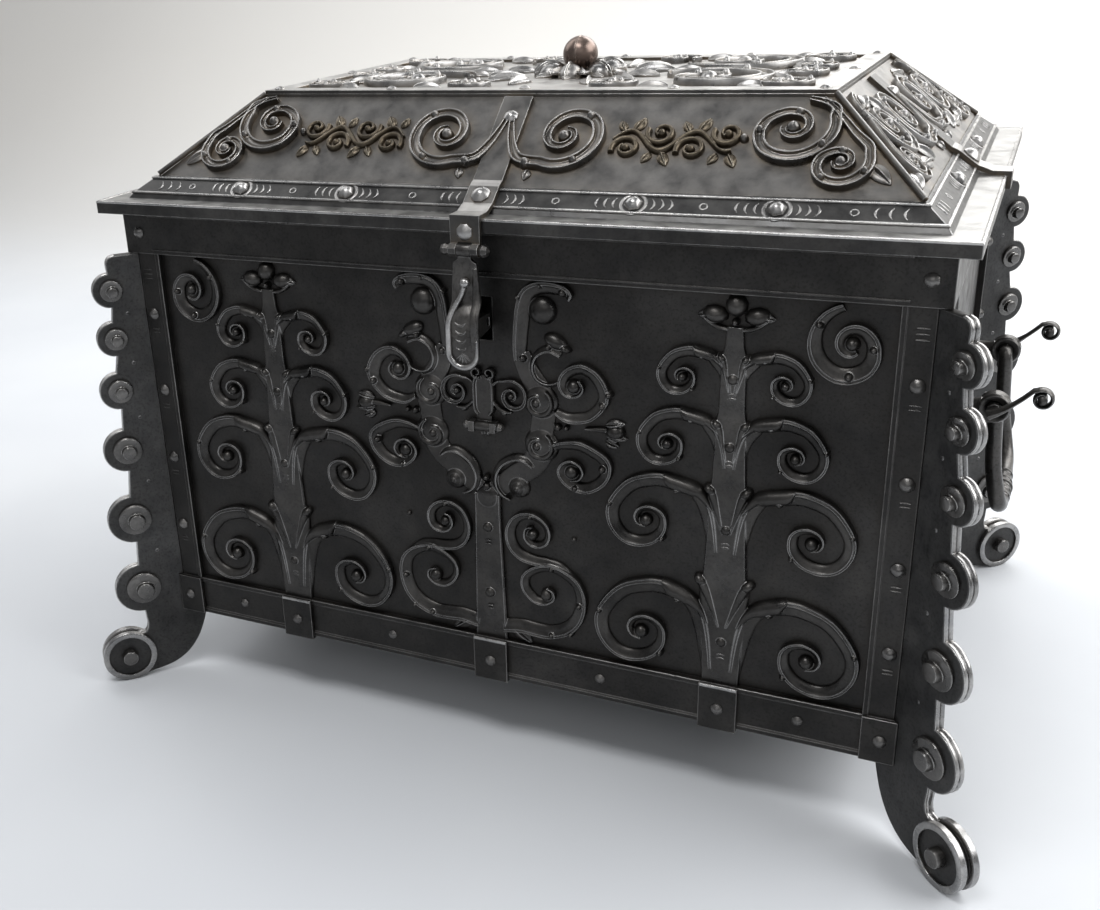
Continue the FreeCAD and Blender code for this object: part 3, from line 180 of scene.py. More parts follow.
# The lid's iron; its faces that look up get painted light, a lighter colour.
LID = iron("lid_iron", greys(0.054, 0.070, 0.088, warm=0.02), (0.55, 0.545, 0.53), rough=0.38, metal=0.84,
           wear=0.85, dust_and_shade=LID_DUST, painted_top_light=(0.60, 0.59, 0.575), hammer=0.2, pits=0.15)
# Lighter copy of the lid's iron for the side slopes: painted light, as they catch the key light.
LIT_LID_SIDE = iron("lid_side_iron_painted_light", greys(0.15, 0.20, 0.26, warm=0.02), (0.66, 0.65, 0.64),
                rough=0.36, metal=0.84, wear=0.85, dust_and_shade=LID_DUST, hammer=0.2, pits=0.15)
BAND = iron("lid_band_iron", greys(0.045, 0.058, 0.074), (0.62, 0.615, 0.61),
            rough=0.34, metal=0.86, wear=0.9, hammer=0.2, pits=0.15)
# Painted light: the rim's top faces get a lighter colour.
RIM = iron("lid_rim_iron", greys(0.036, 0.054, 0.080, warm=0.02), (0.55, 0.545, 0.53),
           rough=0.36, metal=0.85, wear=0.9, painted_top_light=(0.42, 0.415, 0.405), pits=0.25)
# Painted light: the relief's faces that look up get a lighter colour.
LID_RELIEF = iron("lid_relief_iron", greys(0.085, 0.13, 0.19, warm=0.02), (0.66, 0.65, 0.64), rough=0.30, metal=0.9,
                  wear=0.95, dust_and_shade=RELIEF_DUST, painted_top_light=(0.68, 0.67, 0.655), hammer=0.18, pits=0.2)
# Lighter copy of the lid's relief for the side slopes and the top: painted light, as they catch the light.
LIT_SIDE_RELIEF = iron("lid_side_relief_iron_painted_light", greys(0.20, 0.29, 0.40), (0.74, 0.735, 0.72),
                   rough=0.30, metal=0.9, wear=0.95, dust_and_shade=RELIEF_DUST, hammer=0.18, pits=0.2)
# Painted shade: the steel's hollows are darkened.
STEEL = iron("worn_steel", greys(0.24, 0.38, 0.52), (0.74, 0.735, 0.72),
             rough=0.27, metal=0.94, wear=0.9, dust_and_shade=(0.075, 0.062, 0.05), hammer=0.2, pits=0.3)
HANDLE = iron("handle_iron", greys(0.060, 0.088, 0.135, warm=0.03), (0.36, 0.355, 0.35),
              rough=0.34, metal=0.87, wear=0.85)
BRONZE = iron("knob_bronze", ((0.15, 0.112, 0.096), (0.19, 0.146, 0.126), (0.24, 0.188, 0.163)),
              (0.46, 0.39, 0.34), rough=0.30, metal=0.86, hammer=0.08, pits=0.1)
# Painted shade: the gilt's hollows are darkened.
GILT = iron("gilt_bronze", ((0.070, 0.058, 0.042), (0.115, 0.097, 0.072), (0.175, 0.15, 0.115)),
            (0.44, 0.40, 0.33), rough=0.34, metal=0.88, wear=0.9, dust_and_shade=(0.075, 0.055, 0.036), hammer=0.15)

NODE_LOOKS = {
    DARK: ("front_plate back_plate left_plate right_plate bottom_plate top_rail_front top_rail_back "
           "top_rails_side bottom_rail_front bottom_rail_back bottom_rails_side corner_posts_front "
           "corner_posts_back corner_brackets stem_clips lock_case hinge_leaves_box"),
    BAND: "lid_band_front lid_band_back lid_band_sides",
    # The side slopes take the lighter copy, painted light.
    LIT_LID_SIDE: "lid_slope_sides",
    LID: ("lid_slope_front lid_slope_back lid_top_plate top_frame_strips strap_front strap_back "
          "strap_sides hinge_leaves_lid"),
    RIM: "lid_rim_front lid_rim_back lid_rim_sides",
    STEEL: "hinge_pins lock_bolt",
    HANDLE: "hasp_pin keyhole_pin",
}
for material, names in NODE_LOOKS.items():
    for name in names.split():
        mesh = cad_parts[name].data
        mesh.materials.clear()
        mesh.materials.append(material)


# ---------------------------------------------------------------- surfaces that carry relief
def unit(degrees):
    """Cosine and sine of a direction."""
    return math.cos(math.radians(degrees)), math.sin(math.radians(degrees))


def polar(centre, radius, degrees):
    c, s = unit(degrees)
    return (centre[0] + radius * c, centre[1] + radius * s)


def turned(point, degrees):
    c, s = unit(degrees)
    x, y, z = point
    return (x * c - y * s, x * s + y * c, z)


def plain(x, y, z):
    return (x, y, z)


def crosswise(x, y, z):
    """Turns a form round the y axis into one round the x axis."""
    return (y, x, z)


def front(base=SHEET_Y):
    """Front faces: u runs to the right, v up and h out from the given depth."""
    return lambda u, v, h: (u, -base - h, v)


def wall(way):
    """Side walls: u runs along the wall, v is the height."""
    return lambda u, v, h: (way * (SHEET_X + h), way * u, v)


def tilted(side, inset, rise, angle):
    """A face of the lid that leans back: u runs along its lower edge, v up the face."""
    depth = LID_DEPTH if side in LONG_SIDES else LID_WIDTH
    c, s = math.cos(angle), math.sin(angle)
    return lambda u, v, h: turned((u, inset - depth / 2 + v * c - h * s,
                                   RIM_TOP + rise + v * s + h * c), SIDES[side])


def slope(side):
    return tilted(side, BAND_BACK, SLOPE_FOOT, SLOPE_ANGLE)


def band(side):
    return tilted(side, *BAND_LOW, BAND_ANGLE)


def top(fx=1, fy=1, rise=0.0):
    """The lid's top, or one quarter of it mirrored from the first."""
    return lambda u, v, h: (fx * u, fy * v, LID_TOP + rise + h)


def petals(count, offset, tilt=0.0):
    """Faces on the top, turned round the knob; tilt lifts them outward."""
    for i in range(count):
        yield lambda u, v, h: turned((u, v, LID_TOP + h + tilt * u), 360.0 / count * i + offset)


def moved(surface, du=0.0, flip=1, rise=0.0):
    """A face shifted along u, mirrored or raised."""
    return lambda u, v, h: surface(du + flip * u, v, h + rise)


def mirrored(surface):
    """Both halves of a face."""
    return moved(surface), moved(surface, flip=-1)


def corner(fx, fy):
    """A corner fin's own frame: x out along the diagonal, y across the plate, z up."""
    c = math.sqrt(0.5)
    return lambda x, y, z: (fx * (POST_X + (x + y) * c), fy * (-POST_Y + (y - x) * c), z)


# ---------------------------------------------------------------- mesh pieces
# Edges that turn by more degrees than this stay sharp
SHARP = 38.0


class Piece:
    """Closed meshes gathered into one object; points are millimetres on a surface."""

    def __init__(self):
        self.points, self.faces = [], []

    def rings(self, surface, rings, loop=False):
        """Skin over closed rings of points, one after the other, with a cap at each end unless it is a loop."""
        first, count = len(self.points), len(rings[0])
        self.points += [surface(*p) for ring in rings for p in ring]
        starts = [first + i * count for i in range(len(rings))]
        for low, high in zip(starts, starts[1:] + starts[:1] if loop else starts[1:]):
            for k in range(count):
                n = (k + 1) % count
                self.faces.append([low + k, low + n, high + n, high + k])
        if not loop:
            self.faces += [[start + k for k in range(count)] for start in (starts[0], starts[-1])]

    def make(self, name, body, slot, material, replaces=()):
        mesh = bpy.data.meshes.new(name)
        mesh.from_pydata([(x * MM, y * MM, z * MM) for x, y, z in self.points], [], self.faces)
        cleaned = bmesh.new()
        cleaned.from_mesh(mesh)
        bmesh.ops.recalc_face_normals(cleaned, faces=cleaned.faces)
        cleaned.to_mesh(mesh)
        cleaned.free()
        for polygon in mesh.polygons:
            polygon.use_smooth = True
        mesh.set_sharp_from_angle(angle=math.radians(SHARP))
        mesh.materials.append(material)
        thing = bpy.data.objects.new(name, mesh)
        bpy.context.scene.collection.objects.link(thing)
        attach(thing, body)
        if replaces:
            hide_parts(*replaces)


# Cross-sections of ribbons: (across from -1 to 1, share of the height)
BEADED = ((-1, -0.08), (-1, 0.62), (-0.9, 0.9), (-0.72, 1.0), (-0.54, 0.88), (-0.42, 0.52), (-0.22, 0.56),
          (0.15, 0.72), (0.55, 0.66), (0.86, 0.46), (1, 0.2), (1, -0.08))
DOUBLE = ((-1, -0.08), (-1, 0.6), (-0.85, 0.95), (-0.62, 0.95), (-0.45, 0.5), (-0.15, 0.62), (0.15, 0.62),
          (0.45, 0.5), (0.62, 0.95), (0.85, 0.95), (1, 0.6), (1, -0.08))
TWO_LINES = ((-1, -0.08), (-1, 0.55), (-0.92, 0.86), (-0.8, 0.98), (-0.68, 0.88), (-0.61, 0.72), (-0.54, 0.88),
             (-0.44, 0.96), (-0.32, 0.82), (-0.1, 0.7), (0.25, 0.62), (0.62, 0.5), (0.9, 0.3), (1, 0.12), (1, -0.08))
SHEET = ((-1, -0.08), (-1, 0.5), (-0.93, 0.85), (-0.8, 0.96), (0, 1.0), (0.8, 0.96), (0.93, 0.85), (1, 0.5),
         (1, -0.08))
FLAT = ((-1, -0.08), (-1, 0.75), (-0.9, 1.0), (-0.76, 0.8), (0.76, 0.8), (0.9, 1.0), (1, 0.75), (1, -0.08))
ROUND = ((-1, -0.08), (-0.96, 0.35), (-0.75, 0.72), (-0.4, 0.94), (0, 1.0), (0.4, 0.94), (0.75, 0.72),
         (0.96, 0.35), (1, -0.08))


def both(*half):
    """A section from its first half: the same points follow in reverse on the other side of the middle."""
    return (*half, *((r, -y) for r, y in half[::-1] if y))


def spread(values, count):
    """A list of count numbers through the given ones, evenly spaced."""
    if isinstance(values, (int, float)):
        return [float(values)] * count
    result = []
    for i in range(count):
        place = i / (count - 1) * (len(values) - 1)
        k = min(int(place), len(values) - 2)
        result.append(values[k] + (values[k + 1] - values[k]) * (place - k))
    return result


def circle(count, phase=0.0):
    """Cosine and sine of evenly spaced directions."""
    angles = [2 * math.pi * (k + phase) / count for k in range(count)]
    return [(math.cos(a), math.sin(a)) for a in angles]


def headings(path, loop=False):
    """Unit direction of a path at each of its points."""
    before = (path[-1:] if loop else path[:1]) + path[:-1]
    after = path[1:] + (path[:1] if loop else path[-1:])
    result = []
    for (u0, v0), (u1, v1) in zip(before, after):
        size = math.hypot(u1 - u0, v1 - v0) or 1.0
        result.append(((u1 - u0) / size, (v1 - v0) / size))
    return result


def ribbon(piece, surface, path, width, height, profile=ROUND, side=1, edge=0):
    """Raised ribbon along a path; width is half the breadth. side says where a bead runs.

    With edge 1 the path is the beaded edge, with edge 0 the middle line."""
    widths, heights = spread(width, len(path)), spread(height, len(path))
    rings = []
    for (u, v), (du, dv), half, rise in zip(path, headings(path), widths, heights):
        out = side * half
        rings.append([(u + dv * (s + edge) * out, v - du * (s + edge) * out, t * rise) for s, t in profile])
    piece.rings(surface, rings)


def smooth(points, steps=6):
    """Curve through points."""
    path = []
    for i in range(len(points) - 1):
        p0, p1 = points[max(i - 1, 0)], points[i]
        p2, p3 = points[i + 1], points[min(i + 2, len(points) - 1)]
        for k in range(steps):
            t = k / steps
            path.append(tuple(0.5 * (2 * b + (c - a) * t + (2 * a - 5 * b + 4 * c - d) * t * t
                                     + (3 * b - a - 3 * c + d) * t ** 3) for a, b, c, d in zip(p0, p1, p2, p3)))
    path.append(tuple(points[-1]))
    return path


def bezier(p0, p1, p2, p3, steps):
    """Cubic curve from p0 towards p3, without its last point."""
    return [tuple((1 - t) ** 3 * a + 3 * t * (1 - t) ** 2 * b + 3 * t * t * (1 - t) * c + t ** 3 * d
                  for a, b, c, d in zip(p0, p1, p2, p3)) for t in [k / steps for k in range(steps)]]


# Wrought volute: angle wound in, and the distance of its outer edge in shares of the radius
COIL = ((0, 1.10), (60, 1.05), (105, 1.03), (150, 1.0), (195, 0.85), (240, 0.66), (285, 0.56), (330, 0.51),
        (375, 0.455), (420, 0.405), (465, 0.37), (510, 0.34), (555, 0.28))
COIL_SWEEP, COIL_STEP = COIL[-1][0], 9.0


def coil(eye, radius, start, way, width):
    """Middle line of a wrought volute, from its outer end to its eye."""
    path = []
    count = int(COIL_SWEEP / COIL_STEP)
    for i, half in enumerate(spread(width, count + 1)):
        angle = COIL_SWEEP * i / count
        for (a0, r0), (a1, r1) in zip(COIL, COIL[1:]):
            if a0 <= angle <= a1:
                reach = radius * (r0 + (r1 - r0) * (angle - a0) / (a1 - a0)) - half
        path.append(polar(eye, reach, start + way * angle))
    return path


def spiral(eye, outer, inner, start, sweep, step=12.0, power=0.8):
    """Line that winds from the outer to the inner radius; power bends the way in between."""
    path = []
    count = max(int(abs(sweep) / step), 3)
    for i in range(count + 1):
        share = i / count
        reach = inner + (outer - inner) * (1 - share) ** power
        path.append(polar(eye, reach, start + sweep * share))
    return path


# How deep the foot of a raised form goes into its surface
SINK = 0.6


def dome(piece, surface, u, v, radius, height, base=0.0, sides=16, rows=4, long=1.0, degrees=0.0):
    """Rounded knob; long stretches it along the given direction."""
    c, s = unit(degrees)
    rings = []
    for i in range(rows + 1):
        angle = math.pi / 2 * i / rows
        size = max(radius * math.cos(angle), 0.02 * radius)
        rings.append([(u + size * (long * x * c - y * s), v + size * (long * x * s + y * c),
                       base + height * math.sin(angle)) for x, y in circle(sides)])
    foot = [(a, b, base - SINK) for a, b, h in rings[0]]
    piece.rings(surface, [foot] + rings)


def washer(piece, surface, u, v, radius, height, lean=100.0, sides=28):
    """Stepped boss, higher on the side that it leans to."""
    lean_u, lean_v = unit(lean)
    rings = []
    for share, rise in ((1.0, 0.0), (1.0, 0.7), (0.92, 1.0), (0.3, 1.0)):
        rings.append([(u + share * radius * x, v + share * radius * y,
                       rise * height * (0.58 + 0.42 * (x * lean_u + y * lean_v)) if rise else -0.5)
                      for x, y in circle(sides)])
    piece.rings(surface, rings)


def turning(piece, surface, u, v, radius, rows, sides, phase=0.0):
    """Round or faceted form on a surface; rows hold (share of the radius, height)."""
    piece.rings(surface, [[(u + radius * share * x, v + radius * share * y, level) for x, y in circle(sides, phase)]
                          for share, level in rows])


def stub(piece, surface, u, v, radius, height):
    """Short pin with a rounded end."""
    rows = ((1.0, -0.5), (1.0, 0.72 * height), (0.9, 0.93 * height), (0.6, height), (0.1, height))
    turning(piece, surface, u, v, radius, rows, 22)


def stud(piece, surface, u, v, radius, height, sides=8, phase=0.5):
    """Rivet head hammered to facets."""
    rows = ((1.0, -SINK), (1.0, 0.22 * height), (0.62, 0.78 * height), (0.22, height))
    turning(piece, surface, u, v, radius, rows, sides, phase)


def bars(piece, surface, u, v, half, base=0.0, count=2, gap=3.4):
    """Stack of short chisel cuts across."""
    for i in range(count):
        z = v - gap * i
        ribbon(piece, moved(surface, rise=base), [(u - half, z), (u, z), (u + half, z)], (0.4, 0.95, 0.4), 0.7)


def hoop(piece, place, section, centre, sides=44):
    """Ring round the y axis; section holds (radius, place across)."""
    piece.rings(place, [[(centre[0] + r * x, y, centre[1] + r * z) for r, y in section] for x, z in circle(sides)],
                loop=True)


# Cross-section of a leaf: (across from -1 to 1, share of the height)
LEAF = ((-1, -0.1), (-1, 0.3), (-0.62, 0.52), (-0.3, 0.5), (0, 1.0), (0.3, 0.5), (0.62, 0.52), (1, 0.3), (1, -0.1))


def leaf(piece, surface, u, v, length, width, degrees, height, rows=10):
    """Pointed leaf with a ridge, from its foot at (u, v); width is half its breadth."""
    c, s = unit(degrees)
    rings = []
    for i in range(rows + 1):
        t = 0.02 + 0.96 * i / rows
        half = width * math.sin(math.pi * t ** 0.8) ** 0.75
        rise = height * (0.35 + 0.65 * math.sin(math.pi * t) ** 0.7)
        rings.append([(u + length * t * c - side * half * s, v + length * t * s + side * half * c, share * rise)
                      for side, share in LEAF])
    piece.rings(surface, rings)


def crescent(piece, surface, u, v, radius, degrees, half=52.0, width=1.1, height=0.6):
    """Chisel cut along an arc round (u, v), with its middle in the given direction."""
    path = [polar((u, v), radius, degrees - half + 2 * half * i / 10) for i in range(11)]
    ribbon(piece, surface, path, (0.15, width, 0.15), height)


def lathe(piece, place, profile, centre, axis, sides=32):
    """Turned form: profile holds (radius, distance along the axis); place maps its points."""
    axis = Vector(axis).normalized()
    helper = Vector((0, 0, 1)) if abs(axis.z) < 0.9 else Vector((1, 0, 0))
    across = helper.cross(axis).normalized()
    up = axis.cross(across)
    rings = []
    for radius, height in profile:
        middle = Vector(centre) + axis * height
        rings.append([tuple(middle + (across * x + up * y) * max(radius, 0.02)) for x, y in circle(sides)])
    piece.rings(place, rings)


def tube(piece, place, path, radius, sides=12, flat=1.0, up=(0, 0, 1)):
    """Bar along a path; flat squeezes its section along up."""
    sizes = spread(radius, len(path))
    points = [Vector(p) for p in path]
    rings = []
    for i, (p, size) in enumerate(zip(points, sizes)):
        along = (points[min(i + 1, len(points) - 1)] - points[max(i - 1, 0)]).normalized()
        across = along.cross(Vector(up)).normalized()
        lift = across.cross(along).normalized()
        rings.append([tuple(p + across * (size * x) + lift * (flat * size * y)) for x, y in circle(sides)])
    piece.rings(place, rings)


# ---------------------------------------------------------------- front ornament
def volute(piece, surface, eye, radius, start, way, width, height, boss, balls=(), profile=BEADED, lead=()):
    """Ribbon that may come in on a lead, winds in to its eye and ends in a boss.

    balls hold the direction and the radius of each small ball on the outer turn."""
    line = coil(eye, radius, start, way, (width, 0.5 * width))
    tail = 0.35 if lead else 0.6
    widths = [share * width for share in (tail, 0.95, 1.1, 1.0, 0.85, 0.7, 0.6, 0.5)]
    ribbon(piece, surface, [*lead, *line], widths, (height, height, 0.9 * height), profile, side=-way)
    dome(piece, surface, *eye, boss, 1.35 * height, sides=18)
    for degrees, size in balls:
        spot = line[int((degrees - start) * way / COIL_STEP)]
        dome(piece, surface, *spot, size, height + 0.75 * size, sides=12)


def led_volute(piece, surface, lead, eye, radius, start, way, width, *rest):
    """Volute with a double bead that comes in on a curve through the lead's points."""
    begin = coil(eye, radius, start, way, width)[0]
    volute(piece, surface, eye, radius, start, way, width, *rest, DOUBLE, smooth([*lead, begin], 4)[:-1])


# Scrolls of a tree: height and distance of the eye, radius, scale of the ribbon, boss, foot by the stem, bud
TIERS = ((148.0, 70.0, 51.0, 1.0, 6.6, 18.0, (19.6, 209.0)), (256.0, 67.5, 42.0, 0.9, 5.8, 17.0, (14.5, 292.5)),
         (327.0, 51.0, 31.0, 0.75, 4.8, 13.5, (11.0, 349.5)), (386.0, 40.0, 25.0, 0.66, 4.2, 11.0, (9.4, 404.8)))
TREE_RIVETS = (388, 331, 258, 153)
# Stem of a tree: height and half width
TREE_STEM = ((112, 16.0), (150, 17.5), (180, 20.0), (203, 21.0), (216, 18.0), (256, 16.0), (288, 16.0), (300, 14.0),
             (330, 12.5), (350, 12.5), (362, 10.5), (386, 10.0), (405, 10.0), (414, 7.5), (430, 6.0))
# Outer edge of a branch's scroll, from the collar to the eye, in shares of its radius
BRANCH = ((-0.60, 1.02), (-0.33, 1.08), (-0.02, 1.05), (0.38, 0.88), (0.68, 0.54), (0.83, 0.17), (0.77, -0.20),
          (0.53, -0.50), (0.19, -0.60), (-0.19, -0.48), (-0.42, -0.19), (-0.43, 0.13), (-0.28, 0.31),
          (-0.04, 0.36), (0.17, 0.26), (0.245, 0.07), (0.16, -0.09), (0.0, -0.13))
BRANCH_WIDTHS = (5.0, 6.4, 7.0, 7.2, 7.4, 7.6, 7.8, 7.8, 7.4, 6.8, 6.2, 5.6, 5.3, 5.1, 4.9, 4.7, 4.5, 4.2, 3.8, 3.3,
                 2.7, 2.0, 1.4)
BRANCH_HEIGHTS = (4.3, 5.0, 6.6, 6.6, 6.4, 6.2)
COLLAR_WIDTHS, COLLAR_HEIGHTS = (1.0, 4.0, 7.0, 7.0, 2.6), (5.0, 7.2, 8.8, 9.2, 7.0)
SHEATH_WIDTHS, SHEATH_HEIGHTS = (1.2, 3.2, 4.6, 4.2), (4.6, 6.2, 7.0)


def branch(piece, surface, eye_z, off, radius, scale, boss, foot, bud):
    """One scroll of a tree: it climbs by the stem, turns out at a leaf collar and winds in."""
    def spot(du, dv):
        return (off + du * radius, eye_z + dv * radius)

    def scaled(widths):
        return [scale * w for w in widths]

    climb = [(foot - 11, eye_z - 0.45 * radius), (foot - 9, eye_z + 0.05 * radius),
             (foot - 6, eye_z + 0.40 * radius), (foot - 0.02 * radius, eye_z + 0.68 * radius),
             (foot + 0.17 * radius, eye_z + 0.91 * radius)]
    path = smooth(climb + [spot(*p) for p in BRANCH], 5)
    ribbon(piece, surface, path, scaled(BRANCH_WIDTHS), BRANCH_HEIGHTS, TWO_LINES, edge=1)
    collar = smooth([(u - 0.6, v + 0.6) for u, v in climb[2:]] + [spot(-0.52, 1.06), spot(-0.36, 1.09)], 5)
    ribbon(piece, surface, collar, scaled(COLLAR_WIDTHS), COLLAR_HEIGHTS, edge=1)
    dome(piece, surface, *spot(-0.62, 0.76), 3.7 * scale, 8.6, sides=12)
    dome(piece, surface, off, eye_z, boss, 8.0, sides=18)
    for du, dv in ((0.74, 0.29), (-0.34, -0.34)):
        dome(piece, surface, *spot(du, dv), 3.4 * scale, 8.8, sides=12)
    u, v = bud
    sheath = smooth([(3.0, v - 42 * scale), (0.4 * u + 2, v - 22 * scale), (0.8 * u, v - 7 * scale), bud], 5)
    ribbon(piece, surface, sheath, scaled(SHEATH_WIDTHS), SHEATH_HEIGHTS)
    dome(piece, surface, u, v, 4.8 * scale, 8.4, sides=14, long=1.4, degrees=35.0)


def tree(piece, surface):
    """Stem with rivets and chisel cuts, four scrolls on each side and a flower on top."""
    stem = [(0, z) for z, half in TREE_STEM]
    ribbon(piece, surface, smooth(stem, 4), [half for z, half in TREE_STEM], 4.2, SHEET)
    for local in mirrored(surface):
        for tier in TIERS:
            branch(piece, local, *tier)
        dome(piece, local, 16, 439, 7.4, 8.6, sides=9, rows=3, long=1.45, degrees=8.0)
        leaf(piece, local, 20, 438.5, 10, 4.0, -4, 6.0)
        ribbon(piece, local, smooth([(6, 428), (12, 429), (19, 432), (24, 436)], 5), (1.6, 2.4, 2.0, 1.0), 5.0)
    for z in TREE_RIVETS:
        dome(piece, surface, 0, z, 4.4, 3.6, base=3.6, sides=14)
        bars(piece, surface, 0, z - 12.5, 2.8, 4.0)
    dome(piece, surface, 0, 447, 9.0, 9.6, sides=9, rows=3, long=1.05, degrees=90.0)
    dome(piece, surface, 0, 434, 3.4, 8.4)


for name, way in (("right", 1), ("left", -1)):
    piece = Piece()
    tree(piece, moved(front(), way * TREE_X))
    piece.make("scroll_tree_" + name, "chest", "ornament_iron", ORNAMENT, ["tree_scroll_" + name])


# Scrolls of the centre's right half: outer edge or middle line, half widths, side of the bead, edge or middle
CENTRE_SCROLLS = (
    # spiral that leaves the stem's foot
    (((12, 126), (30, 129), (45, 128), (58, 128.5), (72, 134), (82, 144), (87, 157), (87.5, 170), (83, 182),
      (72, 190.5), (58, 194), (45, 190), (36, 182), (34.5, 173), (38.5, 165), (46, 159.5), (54, 159.3), (60.8, 164),
      (60.8, 170), (55.5, 173)),
     (6.5, 6.6, 6.6, 6.5, 6.4, 6.2, 6.0, 5.8, 5.5, 5.2, 4.8, 4.4, 4.0, 3.8, 3.5, 3.2, 2.9, 2.5, 2.0, 1.4), -1, 0),
    # ribbon from it up to the smaller coil
    (((84, 187), (70, 197), (57, 199), (44, 199.5), (33, 202), (25.5, 208), (21.5, 217), (21.8, 227), (27, 237),
      (36, 242), (46, 241.5), (54, 236), (57.3, 228), (55, 219.5), (48, 215.5), (41, 217), (36.8, 222.5), (38, 229.5),
      (43, 231.5)),
     (1.2, 3.0, 4.0, 4.4, 4.7, 4.7, 4.6, 4.5, 4.4, 4.3, 4.1, 3.9, 3.5, 3.1, 2.8, 2.6, 2.3, 1.9, 1.3), 1, 0),
    # lower volute of the shield
    (((60, 313), (72, 318.5), (87, 320.5), (101, 316), (112, 309), (116.5, 300), (114, 288), (106, 278.5), (94, 272.5),
      (81, 273.5), (70.5, 281), (66.8, 290), (70.5, 298), (79, 302), (88, 298.2), (91, 290.5), (86.5, 283.5),
      (79, 282.5)),
     (3.0, 4.6, 5.4, 5.8, 5.8, 5.6, 5.2, 4.8, 4.6, 4.4, 4.2, 3.9, 3.5, 3.1, 2.7, 2.3, 1.8, 1.3), 1, 1),
    # upper volute of the shield
    (((65, 342), (74, 336), (84, 335), (97, 338.5), (107, 347), (113.5, 358), (112.5, 370), (104, 382.5), (91, 388.8),
      (79, 386.2), (70.5, 378), (68.4, 367.5), (73, 359.8), (80.5, 357.4), (88.5, 360.5), (91.5, 367.5), (87.5, 374)),
     (2.5, 4.0, 4.6, 4.6, 4.8, 5.6, 6.0, 5.8, 5.4, 5.0, 4.5, 4.1, 3.6, 3.2, 2.6, 2.0, 1.4), -1, 1),
    # crest beside the hasp
    (((29.5, 386), (28.5, 400), (29.5, 418), (32, 436), (38, 449), (50, 455.5), (65, 456), (77, 452.5), (82, 446),
      (79.5, 440.5)),
     (5.0, 6.0, 6.5, 6.6, 6.6, 6.2, 5.8, 5.2, 4.2, 2.6), 1, 1),
    # hollow curl below the crest
    (((70, 392), (60.5, 395.5), (51, 391), (47, 381.5), (50, 372.5), (58, 368.5), (67, 370.5), (72, 376)),
     (3.4, 3.0, 2.6, 2.4, 2.2, 2.2, 1.9, 1.2), 1, 1),
    # curl round the stem's ball
    (((44, 289), (37, 293.5), (28, 293.8), (17, 287.5), (11, 277), (11.2, 267.5), (15.5, 260.5), (23, 256.5)),
     (1.2, 2.6, 3.0, 3.0, 2.8, 2.6, 2.2, 1.2), 1, 1),
)
CENTRE_BOSSES = ((55.3, 166.7, 6.2, 8.6), (42.6, 224.5, 5.4, 8.0), (79.5, 290.0, 6.4, 8.4), (82.0, 367.5, 6.4, 8.4),
                 (55.0, 430.5, 12.4, 9.6), (61, 194.5, 3.2, 8.6), (86.5, 161.6, 3.4, 8.8), (60, 126.5, 3.4, 8.8),
                 (78.4, 131, 2.8, 8.4), (41.3, 242.5, 3.0, 8.2), (107.6, 297.2, 3.9, 9.2), (83, 276, 3.4, 8.4),
                 (107.5, 353.9, 4.0, 9.0), (113, 364, 3.6, 8.8), (73.5, 447.5, 4.2, 9.0), (54, 452, 2.6, 7.8),
                 (34, 441, 2.6, 7.8), (37.5, 388.3, 3.8, 8.0), (67.5, 329.6, 3.6, 6.4), (75.2, 329.8, 2.8, 5.6),
                 (81, 225.6, 2.4, 3.4))
# Sheet behind the centre scrolls: middle line and half widths
CENTRE_SHEET = ((35, 392), (42, 374), (52, 356), (54, 338), (52, 322), (51, 306), (42, 290), (26, 278), (8, 262))
CENTRE_SHEET_WIDTHS = (8, 10, 12, 11, 10.5, 12, 11, 10, 9)
SNAILS = (350.3, 311.0)
STEM_BALL = (30.5, 268.5)


def centre_half(piece, s):
    """Right half of the ornament round the keyhole and the hasp."""
    for points, widths, side, edge in CENTRE_SCROLLS:
        ribbon(piece, s, smooth(points, 5), widths, 6.2, TWO_LINES, side, edge)
    for u, v, radius, height in CENTRE_BOSSES:
        dome(piece, s, u, v, radius, height, sides=14 if radius < 5 else 22)
    ribbon(piece, s, smooth(CENTRE_SHEET, 4), CENTRE_SHEET_WIDTHS, 2.4, SHEET)
    for v in SNAILS:
        dome(piece, s, 52, v, 16.0, 6.0, sides=28)
        shell = spiral((51, v), 13.0, 6.0, 60.0, -330.0)
        ribbon(piece, moved(s, rise=3.4), shell, (0.8, 2.6, 2.2, 1.2), 4.0)
        dome(piece, s, 49.5, v, 4.8, 9.4, sides=16)
    for radius, height in ((10.4, 6.0), (7.4, 8.2), (3.8, 9.8)):
        dome(piece, s, *STEM_BALL, radius, height, sides=20)
    # buds below the crest
    dome(piece, s, 66, 405, 6.6, 7.6, sides=14, long=1.7, degrees=-22.0)
    dome(piece, s, 75, 400, 3.4, 8.0, sides=12, long=1.7, degrees=-30.0)
    dome(piece, s, 61, 400.5, 3.2, 9.0, sides=12)
    # flower between the volutes of the shield
    dome(piece, s, 118, 331.5, 7.4, 8.8, sides=9, rows=3, long=1.2)
    for v, length, turn in ((336, 18, 12), (328, 20, -6), (322.5, 13, -20)):
        leaf(piece, s, 109, v, length, 4.6, turn, 7.0)
    ribbon(piece, s, [(92, 331.5), (102, 332), (112, 332)], (1.0, 2.4, 3.0), 4.6)
    leaf(piece, s, 19, 128, 26, 7.0, -36, 6.4)


